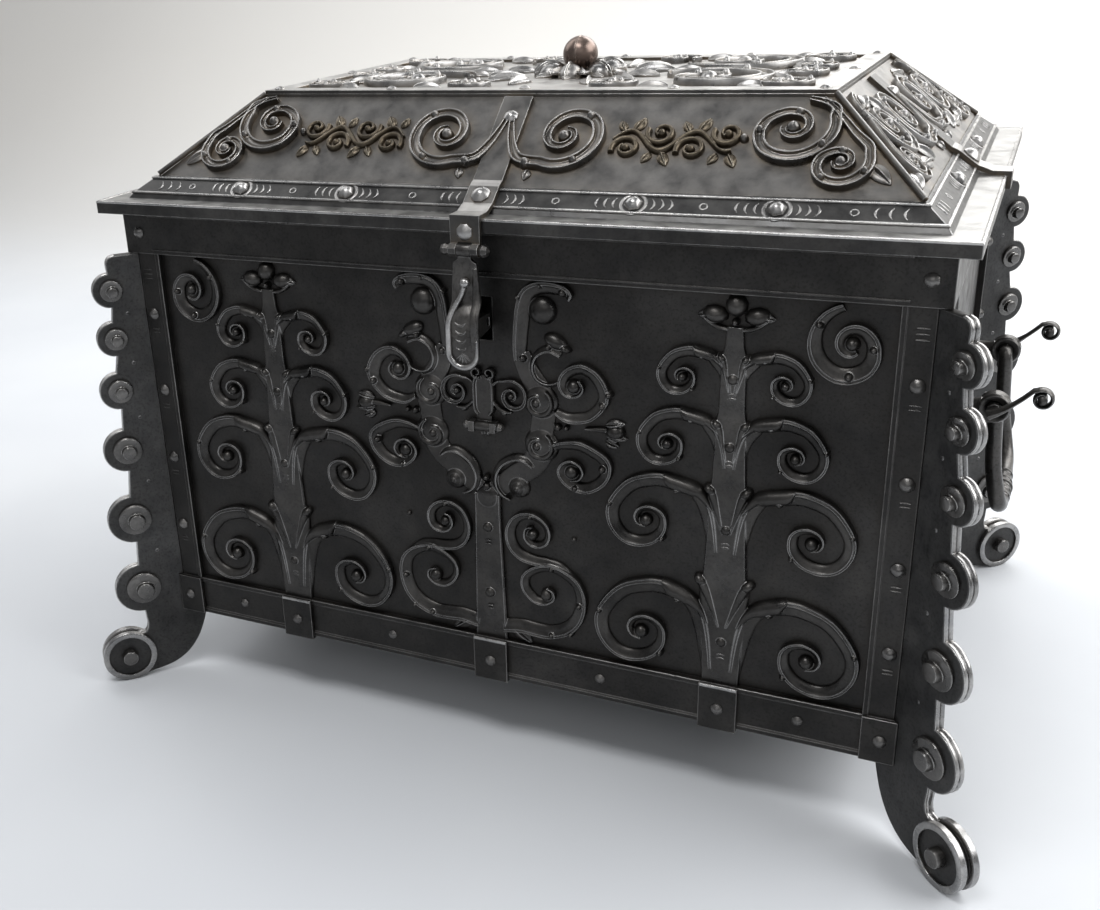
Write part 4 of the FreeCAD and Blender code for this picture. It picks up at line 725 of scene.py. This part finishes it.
piece = Piece()
stem = [(0, z) for z in (RAIL_TOP, 150, 200, 240, 258)]
ribbon(piece, front(), smooth(stem), (16, 15, 13.5, 12.5, 12.5), 4.4, FLAT)
for half in mirrored(front()):
    centre_half(piece, half)
for z, radius in ((225.5, 4.6), (159, 4.8)):
    dome(piece, front(), 0, z, radius, 3.6, base=3.8)
    bars(piece, front(), 0, z - 13, 2.8, 4.2)
dome(piece, front(), 0, 255, 12.5, 5.6, sides=24)
for z, radius in ((274, 3.4), (265.5, 4.2)):
    dome(piece, front(), 0, z, radius, 7.6, sides=14)
piece.make("centre_ornament", "chest", "ornament_iron", ORNAMENT, ["centre_scroll"])

piece = Piece()
for half in mirrored(front()):
    volute(piece, half, (299, 424), 31.5, 105.0, 1, 6.0, 6.2, 5.6, ((158, 3.6), (275, 4.0), (350, 3.6)), TWO_LINES)
piece.make("corner_volutes", "chest", "ornament_iron", ORNAMENT, ["corner_scrolls"])


def post_faces(way):
    """The four faces of a pair of posts, each with the place of its rivets."""
    x, y = way * (POST_X - POST_RIVET_INSET), POST_Y - POST_RIVET_INSET
    yield front(POST_Y), x
    yield (lambda u, v, h: (u, POST_Y + h, v)), x
    for end in (-1, 1):
        yield (lambda u, v, h: (way * (POST_X + h), u, v)), end * y


# Rivets of the frame, with the chisel cuts near them
piece, marks = Piece(), Piece()
for way in (-1, 1):
    for face, spot in post_faces(way):
        for z in POST_RIVET_HEIGHTS:
            stud(piece, face, spot, z, 6.2, 4.6)
            bars(marks, face, spot, z - 15, 4.0)
        bars(marks, face, spot, 441, 4.6, count=3, gap=4.4)
    stud(piece, front(FRIEZE_Y), way * 349, 477, 5.6, 4.0)
    stud(piece, front(CLIP_Y), way * (POST_X - POST_RIVET_INSET), RAIL_RIVET_Z, 5.6, 4.0)
    for x in (106, 280):
        stud(piece, front(RAIL_Y), way * x, RAIL_RIVET_Z, 4.8, 3.6)
for x in CLIPS:
    stud(piece, front(CLIP_Y), x, CLIP_RIVET_Z, 5.4, 4.2)
for z in (461, 493):
    ribbon(marks, front(FRIEZE_Y), [(-336, z), (0, z), (336, z)], 1.0, 0.8)
piece.make("frame_rivet_heads", "chest", "ornament_iron", BOSS, ["frame_rivets"])

# Worn fold of each clip over the rail
piece = Piece()
for x in CLIPS:
    ribbon(piece, front(CLIP_Y), [(x + du, RAIL_TOP - 1.6) for du in (-16, 0, 16)], 1.5, 0.6)
piece.make("clip_worn_edges", "chest", "worn_steel", STEEL)
marks.make("post_chisel_marks", "chest", "ornament_iron", ORNAMENT)

# Scrolls in the upper corners of the side walls
piece = Piece()
for way in (1, -1):
    for half in mirrored(wall(way)):
        volute(piece, half, (184, 424), 27, 95.0, 1, 3.8, 5.6, 5.0, ((280, 3.6), (355, 3.4)))
        leaf(piece, half, 198, 446, 16, 4.5, 20, 5.5)
piece.make("side_wall_volutes", "chest", "ornament_iron", ORNAMENT)


# ---------------------------------------------------------------- corner fins and feet
# Lobes of a fin: height, distance out and radius
LOBES = ((423.0, 27.0, 16.5), (375.0, 29.0, 17.0), (322.0, 32.5, 18.5),
         (259.0, 34.5, 22.0), (183.0, 38.0, 25.5), (104.0, 40.0, 27.0))
FIN_TOP, FIN_BACK, FIN_BOTTOM = 456.4, -5, 70.5
FIN_HALF, FIN_CHAMFER = 4.4, 0.8
# Edge of a fin above and below the lobes, then its foot: (out, height)
FIN_SHOULDER = ((18, FIN_TOP), (24, 454.5), (27, 450), (27.4, 445))
FIN_ANKLE = ((39.5, 68), (39, 60), (42, 52), (50, 50))
FIN_FOOT = ((63, 50), (75, 30), (63, 3), (40, 3.5), (18, 8), (1, 18), (-12, 34), (-20, 52), (-23, 62))
# Section of the polished band on the fin's edge: (out from the edge, across)
FIN_BAND = both((-0.9, -4.0), (0.1, -4.0), (0.5, -3.4), (0.5, -1.3), (0.0, -0.6))
FOOT_OUT, FOOT_Z, FOOT_RADIUS, FOOT_HALF = 63.0, 28.01, 28.0, 6.6
# Disc of the foot and the tyre on each of its faces: (share of the radius, across)
FOOT_DISC = both((0, -FOOT_HALF), (0.82, -FOOT_HALF), (0.86, -2.4), (0.78, -1.2))
FOOT_TYRE = ((0.79, 6.0), (0.79, 8.7), (0.83, 9.2), (0.95, 9.2), (1.0, 8.3), (1.0, 3.4), (0.93, 2.2), (0.82, 2.4))


def fin_edge():
    """Outer edge of the fin from its rounded top corner down to the foot, with the lobes as half rounds."""
    line = smooth(FIN_SHOULDER, 4)
    for height, out, radius in LOBES:
        line += [polar((out, height), radius, 90.0 - 180.0 * i / 16) for i in range(17)]
    return line + smooth(FIN_ANKLE, 4)


def fin(plate, rim, bosses, place):
    """Plate with its foot, the polished band and tyres, and the bosses on both faces."""
    edge = fin_edge()
    heel = FIN_FOOT[-1][0]
    outline = [(FIN_BACK, FIN_TOP), *edge, *smooth(FIN_FOOT, 5), (heel, FIN_BOTTOM), (FIN_BACK, FIN_BOTTOM)]
    inner = [(x + FIN_CHAMFER * dz, z - FIN_CHAMFER * dx)
             for (x, z), (dx, dz) in zip(outline, headings(outline, loop=True))]
    flat = FIN_HALF - FIN_CHAMFER
    levels = ((inner, -FIN_HALF), (outline, -flat), (outline, flat), (inner, FIN_HALF))
    plate.rings(place, [[(x, y, z) for x, z in line] for line, y in levels])
    rim.rings(place, [[(x - r * dz, y, z + r * dx) for r, y in FIN_BAND]
                      for (x, z), (dx, dz) in zip(edge, headings(edge))])
    disc = [(share * FOOT_RADIUS, y) for share, y in FOOT_DISC]
    lathe(plate, place, disc, (FOOT_OUT, 0, FOOT_Z), (0, 1, 0), 44)
    for way in (1, -1):
        face = lambda u, v, h: place(u, way * (FIN_HALF + h), v)
        hoop(rim, place, [(share * FOOT_RADIUS, way * y) for share, y in FOOT_TYRE], (FOOT_OUT, FOOT_Z))
        for height, out, radius in LOBES:
            washer(bosses, face, out - 0.08 * radius, height, 0.66 * radius, 4.0)
            stub(bosses, face, out - 0.12 * radius, height - 0.05 * radius, 0.34 * radius, 8.2)
        stub(bosses, moved(face, rise=FOOT_HALF - FIN_HALF), FOOT_OUT, FOOT_Z, 0.3 * FOOT_RADIUS, 8.0)
        for (z0, out, r0), (z1, _, r1) in zip(LOBES, LOBES[1:]):
            dome(plate, face, 0.5 * out, 0.5 * (z0 - r0 + z1 + r1), 1.5, 0.9, sides=8, rows=2)


for fx, fy in QUARTERS:
    name = ("front" if fy > 0 else "back") + ("_right" if fx > 0 else "_left")
    plate, rim, bosses = Piece(), Piece(), Piece()
    fin(plate, rim, bosses, corner(fx, fy))
    plate.make("lobed_fin_" + name, "chest", "worn_steel", FIN, ["corner_fin_" + name])
    rim.make("fin_polished_edge_" + name, "chest", "worn_steel", STEEL)
    bosses.make("fin_bosses_" + name, "chest", "worn_steel", BOSS)


# ---------------------------------------------------------------- lid
def rim_line(piece, inset, height, radius):
    """Polished bead round the lid."""
    rings = []
    for fx, fy in ((1, -1), (1, 1), (-1, 1), (-1, -1)):
        rings.append([(fx * (LID_WIDTH / 2 - inset + radius * c), fy * (LID_DEPTH / 2 - inset + radius * c),
                       RIM_TOP + height + radius * s) for c, s in circle(8)])
    piece.rings(plain, rings, loop=True)


piece = Piece()
rim_line(piece, 1.2, -0.6, 1.5)
rim_line(piece, BAND_LOW[0], BAND_LOW[1] + 0.2, 1.4)
rim_line(piece, BAND_HIGH[0] - 0.3, BAND_HIGH[1] + 0.2, 1.4)
piece.make("lid_polished_edges", "lid", "worn_steel", STEEL)

piece = Piece()
for fx, fy in QUARTERS:
    ends = [(fx * (LID_WIDTH / 2 - inset), fy * (LID_DEPTH / 2 - inset), LID_TOP - LID_RISE + rise)
            for inset, rise in ((BAND_BACK, SLOPE_FOOT), (TOP_INSET, LID_RISE))]
    tube(piece, plain, ends, 2.4)
piece.make("hip_beads", "lid", "lid_iron", LID, ["hip_strips"])


def band_half(rivets, marks, surface, spots, reach):
    """Rivets on half of a band, with the chisel cuts round them, between them and at both ends."""
    def cuts(places, degrees):
        for u in places:
            crescent(marks, surface, u, BAND_MIDDLE, 6.5, degrees)

    def ring(u, radius, step, width, height):
        ribbon(marks, surface, spiral((u, BAND_MIDDLE), radius, radius, 0, 360, step), width, height)

    for spot in spots:
        stud(rivets, surface, spot, BAND_MIDDLE, 7.4, 5.8, sides=6, phase=0.25)
        ring(spot, 9.8, 20, 1.5, 0.6)
        cuts((spot - 10, spot - 17, spot - 24), 180)
        cuts((spot + 10, spot + 17, spot + 24), 0)
    cuts((16, 23, 30), 0)
    cuts((reach - 6, reach + 4, reach + 14), 180)
    stops = [0, *spots, reach + 28]
    for low, high in zip(stops, stops[1:]):
        ring(0.5 * (low + high), 2.9, 30, 0.7, 0.5)


piece, marks = Piece(), Piece()
for side in SIDES:
    spots, reach = ((128, 237), 318) if side in LONG_SIDES else ((95,), 208)
    for half in mirrored(band(side)):
        band_half(piece, marks, half, spots, reach)
    stud(piece, moved(band(side), rise=STRAP_THICKNESS), 0, BAND_MIDDLE, 8.5, 6.0)
    stud(piece, moved(slope(side), rise=STRAP_THICKNESS), 0, 74, 6.5, 4.6)
stud(piece, front(LID_DEPTH / 2 + STRAP_THICKNESS), 0, 498.6, 7.2, 4.2)
piece.make("lid_rivet_heads", "lid", "lid_iron", STEEL, ["lid_rivets"])
marks.make("band_chisel_marks", "lid", "worn_steel", STEEL)

# Volutes of a slope: points of the lead, eye, radius, start, way, width, height, boss, balls
STRAP_VOLUTE = (((1.5, 77), (5, 60), (11, 42), (20, 29)),
                (53, 54), 33, 245.0, 1, 5.2, 6.6, 5.6, ((303, 3.8), (414, 4.0)))
LONG_VOLUTES = ((((242, 94), (255, 90), (263, 84)),
                 (234, 66), 33, 20.0, -1, 5.0, 6.6, 5.8, ((-40, 3.8), (-170, 3.6), (-285, 3.8))),
                (((252, 94), (267, 78), (281, 60), (292, 48)),
                 (274, 33), 23, 20.0, -1, 4.2, 6.4, 5.0, ((-30, 3.6), (-130, 3.2), (-270, 3.6))))
SHORT_VOLUTES = ((((128, 94), (142, 88), (150, 78)),
                  (122, 58), 30, 20.0, -1, 4.6, 6.6, 5.4, ((-40, 3.6), (-170, 3.4), (-285, 3.6))),
                 (((146, 78), (160, 64), (174, 50)),
                  (166, 28), 20, 20.0, -1, 3.4, 6.2, 4.4, ((-30, 3.0), (-130, 2.8))))
# Leaves of a short slope and of a quarter of the top: foot, length, direction
SHORT_LEAVES = ((88, 12, 30, 48), (92, 88, 24, -22), (104, 14, 32, 6), (140, 12, 22, 34), (82, 66, 22, 70),
                (186, 20, 20, -40))
TOP_LEAVES = ((44, 30, 40, 48), (52, 18, 34, 10), (30, 56, 34, 78), (186, 58, 32, 34), (190, 40, 26, -20),
              (92, 116, 28, 4), (176, 118, 24, -8), (88, 14, 28, -6))
WAVE_MIDDLE = 52


def running_scroll(gilt, s):
    """Thin wave with a curl and two leaves at each of its bends."""
    wave = [(95 + 4.2 * i, WAVE_MIDDLE + 10 * math.sin(i * 0.5)) for i in range(24)]
    ribbon(gilt, s, smooth(wave, 3), (1.2, 2.6, 2.6, 1.2), 4.4)
    for i in range(4):
        up = 1 if i % 2 == 0 else -1
        u, v = 107 + 26.4 * i, WAVE_MIDDLE - 8 * up
        curl = spiral((u, v), 12, 3.4, 200.0 * up, -430.0 * up, power=0.9)
        ribbon(gilt, s, curl, (2.6, 2.2, 1.4), 4.8)
        dome(gilt, s, u, v, 3.6, 6.0, sides=12)
        leaf(gilt, s, u + 3, WAVE_MIDDLE + 11 * up, 15, 4.6, 62.0 * up, 5.0)
        leaf(gilt, s, u - 5, WAVE_MIDDLE + 11 * up, 12, 3.8, 118.0 * up, 4.6)


def slope_half(piece, gilt, s, long):
    """Half of a slope: the scroll that rises from the strap, and those beside it."""
    led_volute(piece, s, *STRAP_VOLUTE)
    dome(piece, s, 27, 25, 4.6, 9.0, sides=14)
    leaf(piece, s, 31, 20, 11, 4.0, 262, 5.0)
    for numbers in LONG_VOLUTES if long else SHORT_VOLUTES:
        led_volute(piece, s, *numbers)
    if long:
        leaf(piece, s, 294, 34, 26, 6.5, -46, 5.8)
        dome(piece, s, 199, 56, 3.6, 6.0, sides=12)
        running_scroll(gilt, s)
    else:
        for u, v, length, turn in SHORT_LEAVES:
            leaf(piece, s, u, v, length, 6.5, turn, 6.4)


for side in SIDES:
    piece, gilt = Piece(), Piece()
    long = side in LONG_SIDES
    for half in mirrored(slope(side)):
        slope_half(piece, gilt, half, long)
    hidden = ["slope_scrolls"] if side == "front" else []
    # The short sides take the lighter relief, painted light.
    piece.make("slope_relief_" + side, "lid", "lid_iron", LID_RELIEF if long else LIT_SIDE_RELIEF, hidden)
    if long:
        gilt.make("gilt_scroll_" + side, "lid", "bronze", GILT)

# Top: scrolls round a rosette of leaves and the knob
# The top's relief, rivets and rosette take the lighter relief, painted light.
piece = Piece()
for fx, fy in QUARTERS:
    s = top(fx, fy)
    volute(piece, s, (140, 66), 54, 215.0, 1, 7.0, 6.8, 8.5, ((300, 4.5), (20, 4.5), (110, 4.5)), DOUBLE)
    volute(piece, s, (214, 100), 24, 200.0, -1, 3.8, 6.0, 5.0, ((100, 3.4), (0, 3.4)), DOUBLE)
    volute(piece, s, (66, 104), 22, 330.0, 1, 3.6, 6.0, 5.0, ((60, 3.2), (150, 3.2)), DOUBLE)
    volute(piece, s, (212, 24), 20, 120.0, -1, 3.4, 6.0, 4.5, ((40, 3.2), (-60, 3.2)), DOUBLE)
    for u, v, length, turn in TOP_LEAVES:
        leaf(piece, s, u, v, length, 8.5, turn, 6.8)
piece.make("top_openwork", "lid", "lid_iron", LIT_SIDE_RELIEF, ["top_scrollwork"])

piece = Piece()
for x, y in sorted({(fx * x, fy * y) for x, y in ((250, 140), (250, 0), (130, 140), (0, 140)) for fx, fy in QUARTERS}):
    stud(piece, top(rise=3.0), x, y, 5.0, 2.6)
piece.make("top_strip_rivets", "lid", "lid_iron", LIT_SIDE_RELIEF)

piece = Piece()
for petal in petals(8, 22.5, 0.10):
    leaf(piece, petal, 4, 0, 40, 10, 0, 7.0)
    dome(piece, petal, 40, 0, 3.2, 4.5, sides=10)
for petal in petals(8, 0.0):
    leaf(piece, petal, 14, 0, 33, 7, 0, 5.5)
collar = ((0, 0), (13, 0), (14, 2.5), (11, 5), (8, 7), (8, 8))
lathe(piece, plain, collar, (0, 0, LID_TOP + 1), (0, 0, 1), 28)
for petal in petals(6, -90.0):
    dome(piece, petal, 27, 0, 12.0, 12.5, sides=20, rows=5, long=1.2)
    leaf(piece, petal, 12, 0, 33, 4.0, 0, 15.0)
piece.make("leaf_rosette", "lid", "lid_iron", LIT_SIDE_RELIEF, ["rosette"])

KNOB_Z, KNOB_RADIUS = LID_TOP + 18.7, 16.5
piece = Piece()
meridian = [math.pi * i / 16 for i in range(17)]
ball = [(KNOB_RADIUS * math.sin(a), -KNOB_RADIUS * math.cos(a)) for a in meridian]
lathe(piece, plain, ball, (0, 0, KNOB_Z), (0, 0, 1), 40)
seam = [(KNOB_RADIUS - 0.1 + 0.6 * s, 0.9 * c) for c, s in circle(6)]
hoop(piece, crosswise, seam, (0, KNOB_Z), 40)
piece.make("ball_knob", "lid", "bronze", BRONZE, ["knob"])


# ---------------------------------------------------------------- hasp, keyhole cover, handles
def hasp_place(x, out, z):
    """The hasp's frame: out is the distance in front of its pin."""
    return (x, HASP_Y - out, z)


# Hasp plate from the knuckle down: height, half width and distance out of its middle
HASP_ROWS = ((482.0, 5.8, 0), (477.0, 5.9, 0), (474.0, 10.5, 0), (456.0, 12.0, 0), (442.0, 12.8, 0),
             (438.5, 13.1, 2), (434.5, 13.4, 6), (431.0, HASP_HALF, 8))
# Its section: (share of the half width, out)
HASP_SECTION = both((-1, -1.2), (-0.94, -2.0), (0.94, -2.0), (1, -1.2))
HASP_BARREL = both((2.9, -5.9), (5.2, -5.9), (5.5, -5.4))
HASP_FOLD = ((9.0, 2.2, 470), (9.4, 2.2, 445), (9.8, 10.2, 429), (9.8, 10.2, 404))
# Staple: corners of its outline and of its eye, (out, height)
STAPLE_HALF = 7.9
STAPLE = (((6.5, 426.5), (-21.2, 422.0)), ((-28.9, 424.8), (-26.4, 422.0)),
          ((-28.9, 411.8), (-26.4, 414.6)), ((6.5, 407.5), (-21.2, 414.6)))
# Bright rim, from the ball on the plate down its left edge
HASP_RIM = ((0.5, 3.4, 457), (-3.5, 3.6, 447), (-8.6, 7.0, 437), (-12.0, 10.8, 427), (-12.6, 11.0, 414))
HASP_RIM_WIDTHS = (2.2, 2.3, 2.4, 2.5, 2.6, 2.6, 2.7, 2.7, 2.4, 1.8, 0.8)
HASP_BALL = both((0, -4.2), (2.5, -3.4), (4.0, -1.5), (4.2, 0))

plate, rim = Piece(), Piece()
round_z = HASP_END + HASP_HALF
rows = list(HASP_ROWS)
for i in range(10):
    c, s = unit(90.0 * i / 9.6)
    rows.append((round_z - HASP_HALF * s, HASP_HALF * c, HASP_ROWS[-1][2]))
plate.rings(hasp_place, [[(share * half, out + h, z) for share, h in HASP_SECTION] for z, half, out in rows])
hoop(plate, crosswise, HASP_BARREL, (HASP_Y, HASP_Z), 28)
tube(plate, hasp_place, smooth(HASP_FOLD, 6), (2.0, 3.2, 3.2, 2.4), flat=0.5, up=(0, 1, 0))
face = front(HASP_OUT - HASP_Y)
for z in (429, 422, 415, 408):
    crescent(plate, face, -2, z, 5.4, 270, 58, 0.9, 0.7)
for turn in (-48, -24, 0, 24, 48):
    leaf(plate, face, -1, 400, 9, 1.2, 270 + turn, 0.8)
plate.rings(hasp_place, [[(-STAPLE_HALF, *outer), (STAPLE_HALF, *outer), (STAPLE_HALF, *eye), (-STAPLE_HALF, *eye)]
                         for outer, eye in STAPLE], loop=True)
line = [*HASP_RIM, (-12.6, 11.0, round_z)]
for i in range(1, 10):
    c, s = unit(180.0 + 20.0 * i)
    line.append((12.6 * c, 11.0, round_z + 12.4 * s))
line.append((12.7, 10.8, 412))
tube(rim, hasp_place, smooth(line, 4), HASP_RIM_WIDTHS, up=(0, 1, 0))
lathe(rim, hasp_place, HASP_BALL, (0.8, 4.4, 458.5), (0, 1, 0), 18)
plate.make("hasp_plate", "hasp", "worn_steel", HANDLE, ["hasp"])
rim.make("hasp_rim", "hasp", "worn_steel", STEEL)

# Keyhole cover: plate, edges, and a pair of small volutes
COVER_PLATE = ((-7, 324), (7, 324), (7, 333), (9, 338), (9, 366), (0, 370), (-9, 366), (-9, 338), (-7, 333))
COVER_EDGE = ((5.2, 334), (8.2, 339), (8.6, 350), (8.4, 362), (6.0, 369))
COVER_FOOT = ((8.5, 348), (12, 343), (18, 338.5), (26, 338.5))
COVER_VOLUTE = ((25.5, 353), 14.5, 115.0, -1, 2.0)
COVER_BARREL = both((0, -7), (4.2, -7), (4.5, -6.4))
piece = Piece()
face = front(SHEET_Y + 0.6)
for half in mirrored(face):
    ribbon(piece, half, smooth(COVER_EDGE, 5), (1.6, 1.9, 1.9, 1.7), 5.6)
    ribbon(piece, half, spiral((5.8, 372), 5.2, 1.6, 230.0, 400.0), (1.7, 1.4, 1.0), 5.4)
    lead = bezier((9, 360), (11, 364), (13, 366), coil(*COVER_VOLUTE)[0], 5)
    volute(piece, half, *COVER_VOLUTE, 4.8, 3.4, lead=lead)
    ribbon(piece, half, smooth(COVER_FOOT, 5), (1.2, 2.0, 2.2, 1.2), 4.6)
    dome(piece, half, 19, 337, 2.8, 5.4, sides=10)
piece.rings(face, [[(u, v, h) for u, v in COVER_PLATE] for h in (0.0, 3.0)])
lathe(piece, plain, COVER_BARREL, (0, -COVER_Y, COVER_Z), (1, 0, 0), 20)
for u in (-2.6, 0, 2.6):
    leaf(piece, face, u, COVER_Z - 3, 8, 1.3, 270, 4.0)
piece.make("lyre_cover", "keyhole_cover", "ornament_iron", ORNAMENT, ["keyhole_cover"])

# Bail from the middle of an eye: end and arm along the wall, drop and distance out of the grip
BAIL_END, BAIL_ARM, BAIL_DROP, BAIL_OUT = 98.5, 67.5, 107.0, 13
BAIL_HALF = ((0, 3 - BAIL_END, 0), (0, -EYE_Y, 0), (0, -BAIL_ARM - 3.5, 0), (0.4, -BAIL_ARM - 0.4, -3),
             (1.2, -BAIL_ARM, -12), (4.2, -BAIL_ARM, -55), (8.5, 1 - BAIL_ARM, -80), (12, 9 - BAIL_ARM, -97),
             (BAIL_OUT, 26 - BAIL_ARM, -105), (BAIL_OUT, -18, -BAIL_DROP))
# The grip takes up this share of the bail and swells in the middle
GRIP, GRIP_SWELL, BAIL_RADIUS = 0.62, 1.6, 6.0
# Beads on the grip: place along it, radius and height above it
GRIP_BEADS = ((0, 9.4, 0), (11, 8.6, 0), (-11, 8.6, 0), (26, 8.2, 1.2), (-26, 8.2, 1.2))
# Stop at the end of a bail: flat bar that curls round a small roll
STOP_BAR, STOP_EYE = ((-4, -2.5), (8, 4), (20, 14), (29, 23.5)), (35, 15.8)
STOP_ROLL = both((0, -7.4), (2.6, -7.0), (3.8, -5.8))


def handle(piece, way):
    """Bail with beads on its grip and a scroll-ended stop at each eye."""
    place = lambda x, y, z: (way * (EYE_X + x), y, EYE_Z + z)
    curve = smooth([*BAIL_HALF, *((x, -y, z) for x, y, z in BAIL_HALF[::-1])], 6)
    ends = [abs(2 * i / (len(curve) - 1) - 1) for i in range(len(curve))]
    sizes = [BAIL_RADIUS + GRIP_SWELL * max(1 - t / GRIP, 0.0) ** 0.6 for t in ends]
    tube(piece, place, curve, sizes, 16, up=(1, 0, 0))
    for y, size, rise in GRIP_BEADS:
        lathe(piece, place, both((0.8 * size, -2.6), (size, -1.2)), (BAIL_OUT, y, rise - BAIL_DROP), (0, 1, 0), 20)
    bar = smooth(STOP_BAR, 5)[:-1]
    line = bar + spiral(STOP_EYE, 8.4, 4.6, 125.0, -420.0, power=1.0)
    for y in (-BAIL_END, BAIL_END):
        rings = []
        for i, ((x, z), (dx, dz)) in enumerate(zip(line, headings(line))):
            thick = 4.6 - 2.9 * min(1.0, i / 8)
            rings.append([(x - dz * thick * c, y + BAIL_RADIUS * s * (1.0 if abs(s) > 0.9 else 0.96),
                           z + dx * thick * c) for c, s in circle(10, 0.5)])
        piece.rings(place, rings)
        lathe(piece, place, STOP_ROLL, (STOP_EYE[0], y, STOP_EYE[1]), (0, 1, 0), 16)


for name, way in (("right", 1), ("left", -1)):
    piece = Piece()
    handle(piece, way)
    piece.make("bail_" + name, "handle_" + name, "handle_iron", HANDLE, ["handle_" + name])

# Eyes of the handles: section of the ring, (radius, across), and the shank, (radius, out from the wall)
EYE_RING = both((6.3, 5.5), (8.5, 7.2), (11.6, 7.2), (13, 5.2), (11.6, 0))
EYE_SHANK = ((0, 0), (17, 0), (17.4, 1.6), (15, 3.6), (12.5, 3.8), (10, 5.6), (7.2, 7), (6.2, 11), (6.6, 25),
             (7.5, 27.5))
piece = Piece()
for fx, fy in QUARTERS:
    place = lambda x, y, z: (fx * x, fy * (EYE_Y + y), z)
    hoop(piece, place, EYE_RING, (EYE_X, EYE_Z), 32)
    lathe(piece, place, EYE_SHANK, (SHEET_X, 0, EYE_Z), (1, 0, 0), 28)
piece.make("handle_eye_rings", "chest", "handle_iron", HANDLE, ["handle_eyes"])


# ---------------------------------------------------------------- floor, light, camera
# Floor and backdrop in metres: half width, front edge, place and radius of the bend, height
FLOOR_HALF, FLOOR_FRONT, BEND_Y, BEND, BACKDROP_TOP = 7.0, -5.0, 1.6, 0.9, 5.0


def stage():
    """Pale floor that bends up into a warmer backdrop."""
    s = Shader("pale_floor")
    tone = s.ramp(s.noise(2.5, 3.0, 0.5), (0.3, (0.59, 0.61, 0.64)), (0.7, (0.63, 0.65, 0.675)))
    depth = s.node("SeparateXYZ", {0: s.coords}).outputs["Y"]
    tone = s.mix(s.remap(depth, 0.9, 2.3, 0.0, 1.0), tone, (0.74, 0.725, 0.695))
    s.fill(s.surface, {"Base Color": tone, "Roughness": 0.85})
    rows = [(FLOOR_FRONT, 0.0), (BEND_Y, 0.0)]
    for i in range(1, 13):
        a = math.pi / 2 * i / 12
        rows.append((BEND_Y + BEND * math.sin(a), BEND - BEND * math.cos(a)))
    rows.append((BEND_Y + BEND, BACKDROP_TOP))
    points = [(x, y, z) for y, z in rows for x in (-FLOOR_HALF, FLOOR_HALF)]
    faces = [[2 * i, 2 * i + 1, 2 * i + 3, 2 * i + 2] for i in range(len(rows) - 1)]
    mesh = bpy.data.meshes.new("floor")
    mesh.from_pydata(points, [], faces)
    for polygon in mesh.polygons:
        polygon.use_smooth = True
    mesh.materials.append(s.material)
    thing = bpy.data.objects.new("floor", mesh)
    bpy.context.scene.collection.objects.link(thing)


def lamp(name, place, target, size, watts):
    light = bpy.data.lights.new(name, "AREA")
    light.shape = "RECTANGLE"
    light.size, light.size_y = size
    light.energy = watts
    thing = bpy.data.objects.new(name, light)
    bpy.context.scene.collection.objects.link(thing)
    thing.visible_camera = False
    thing.location = place
    thing.rotation_mode = "QUATERNION"
    thing.rotation_quaternion = (Vector(target) - Vector(place)).to_track_quat("-Z", "Y")


stage()
lamp("key_light", (3.3, 0.4, 2.7), (0.3, 0.0, 0.5), (3.0, 2.8), 135)
lamp("back_light", (0.8, 2.0, 2.0), (0.1, 0.0, 0.55), (2.6, 1.4), 60)
lamp("left_light", (-2.0, 0.4, 1.9), (0.0, 0.0, 0.4), (1.6, 1.6), 16)
lamp("top_front", (-0.1, -1.0, 2.3), (0.0, -0.25, 0.3), (1.0, 0.6), 20)
lamp("front_fill", (0.6, -2.6, 1.8), (0.0, 0.0, 0.3), (2.4, 1.4), 8)
lamp("wall_light", (-1.2, 0.9, 3.0), (-0.8, 2.5, 1.0), (2.4, 1.0), 24)

world = bpy.data.worlds.new("studio")
world.use_nodes = True
world.node_tree.nodes["Background"].inputs["Color"].default_value = (0.82, 0.83, 0.85, 1.0)
world.node_tree.nodes["Background"].inputs["Strength"].default_value = 0.40
bpy.context.scene.world = world

camera = bpy.data.cameras.new("camera")
camera.sensor_fit = "HORIZONTAL"
camera.sensor_width = 36.0
camera.lens = 40.36
camera.shift_x = 0.1205
eye = bpy.data.objects.new("camera", camera)
bpy.context.scene.collection.objects.link(eye)
back = Vector((0.4341, -0.8172, 0.379)).normalized()
right = Vector((0.8919, 0.449, -0.0537))
right = (right - back * right.dot(back)).normalized()
up = back.cross(right)
eye.matrix_world = Matrix(((right.x, up.x, back.x, 0.4175), (right.y, up.y, back.y, -1.162),
                           (right.z, up.z, back.z, 0.710), (0, 0, 0, 1)))
bpy.context.scene.camera = eye
bpy.context.scene.view_settings.view_transform = "Standard"
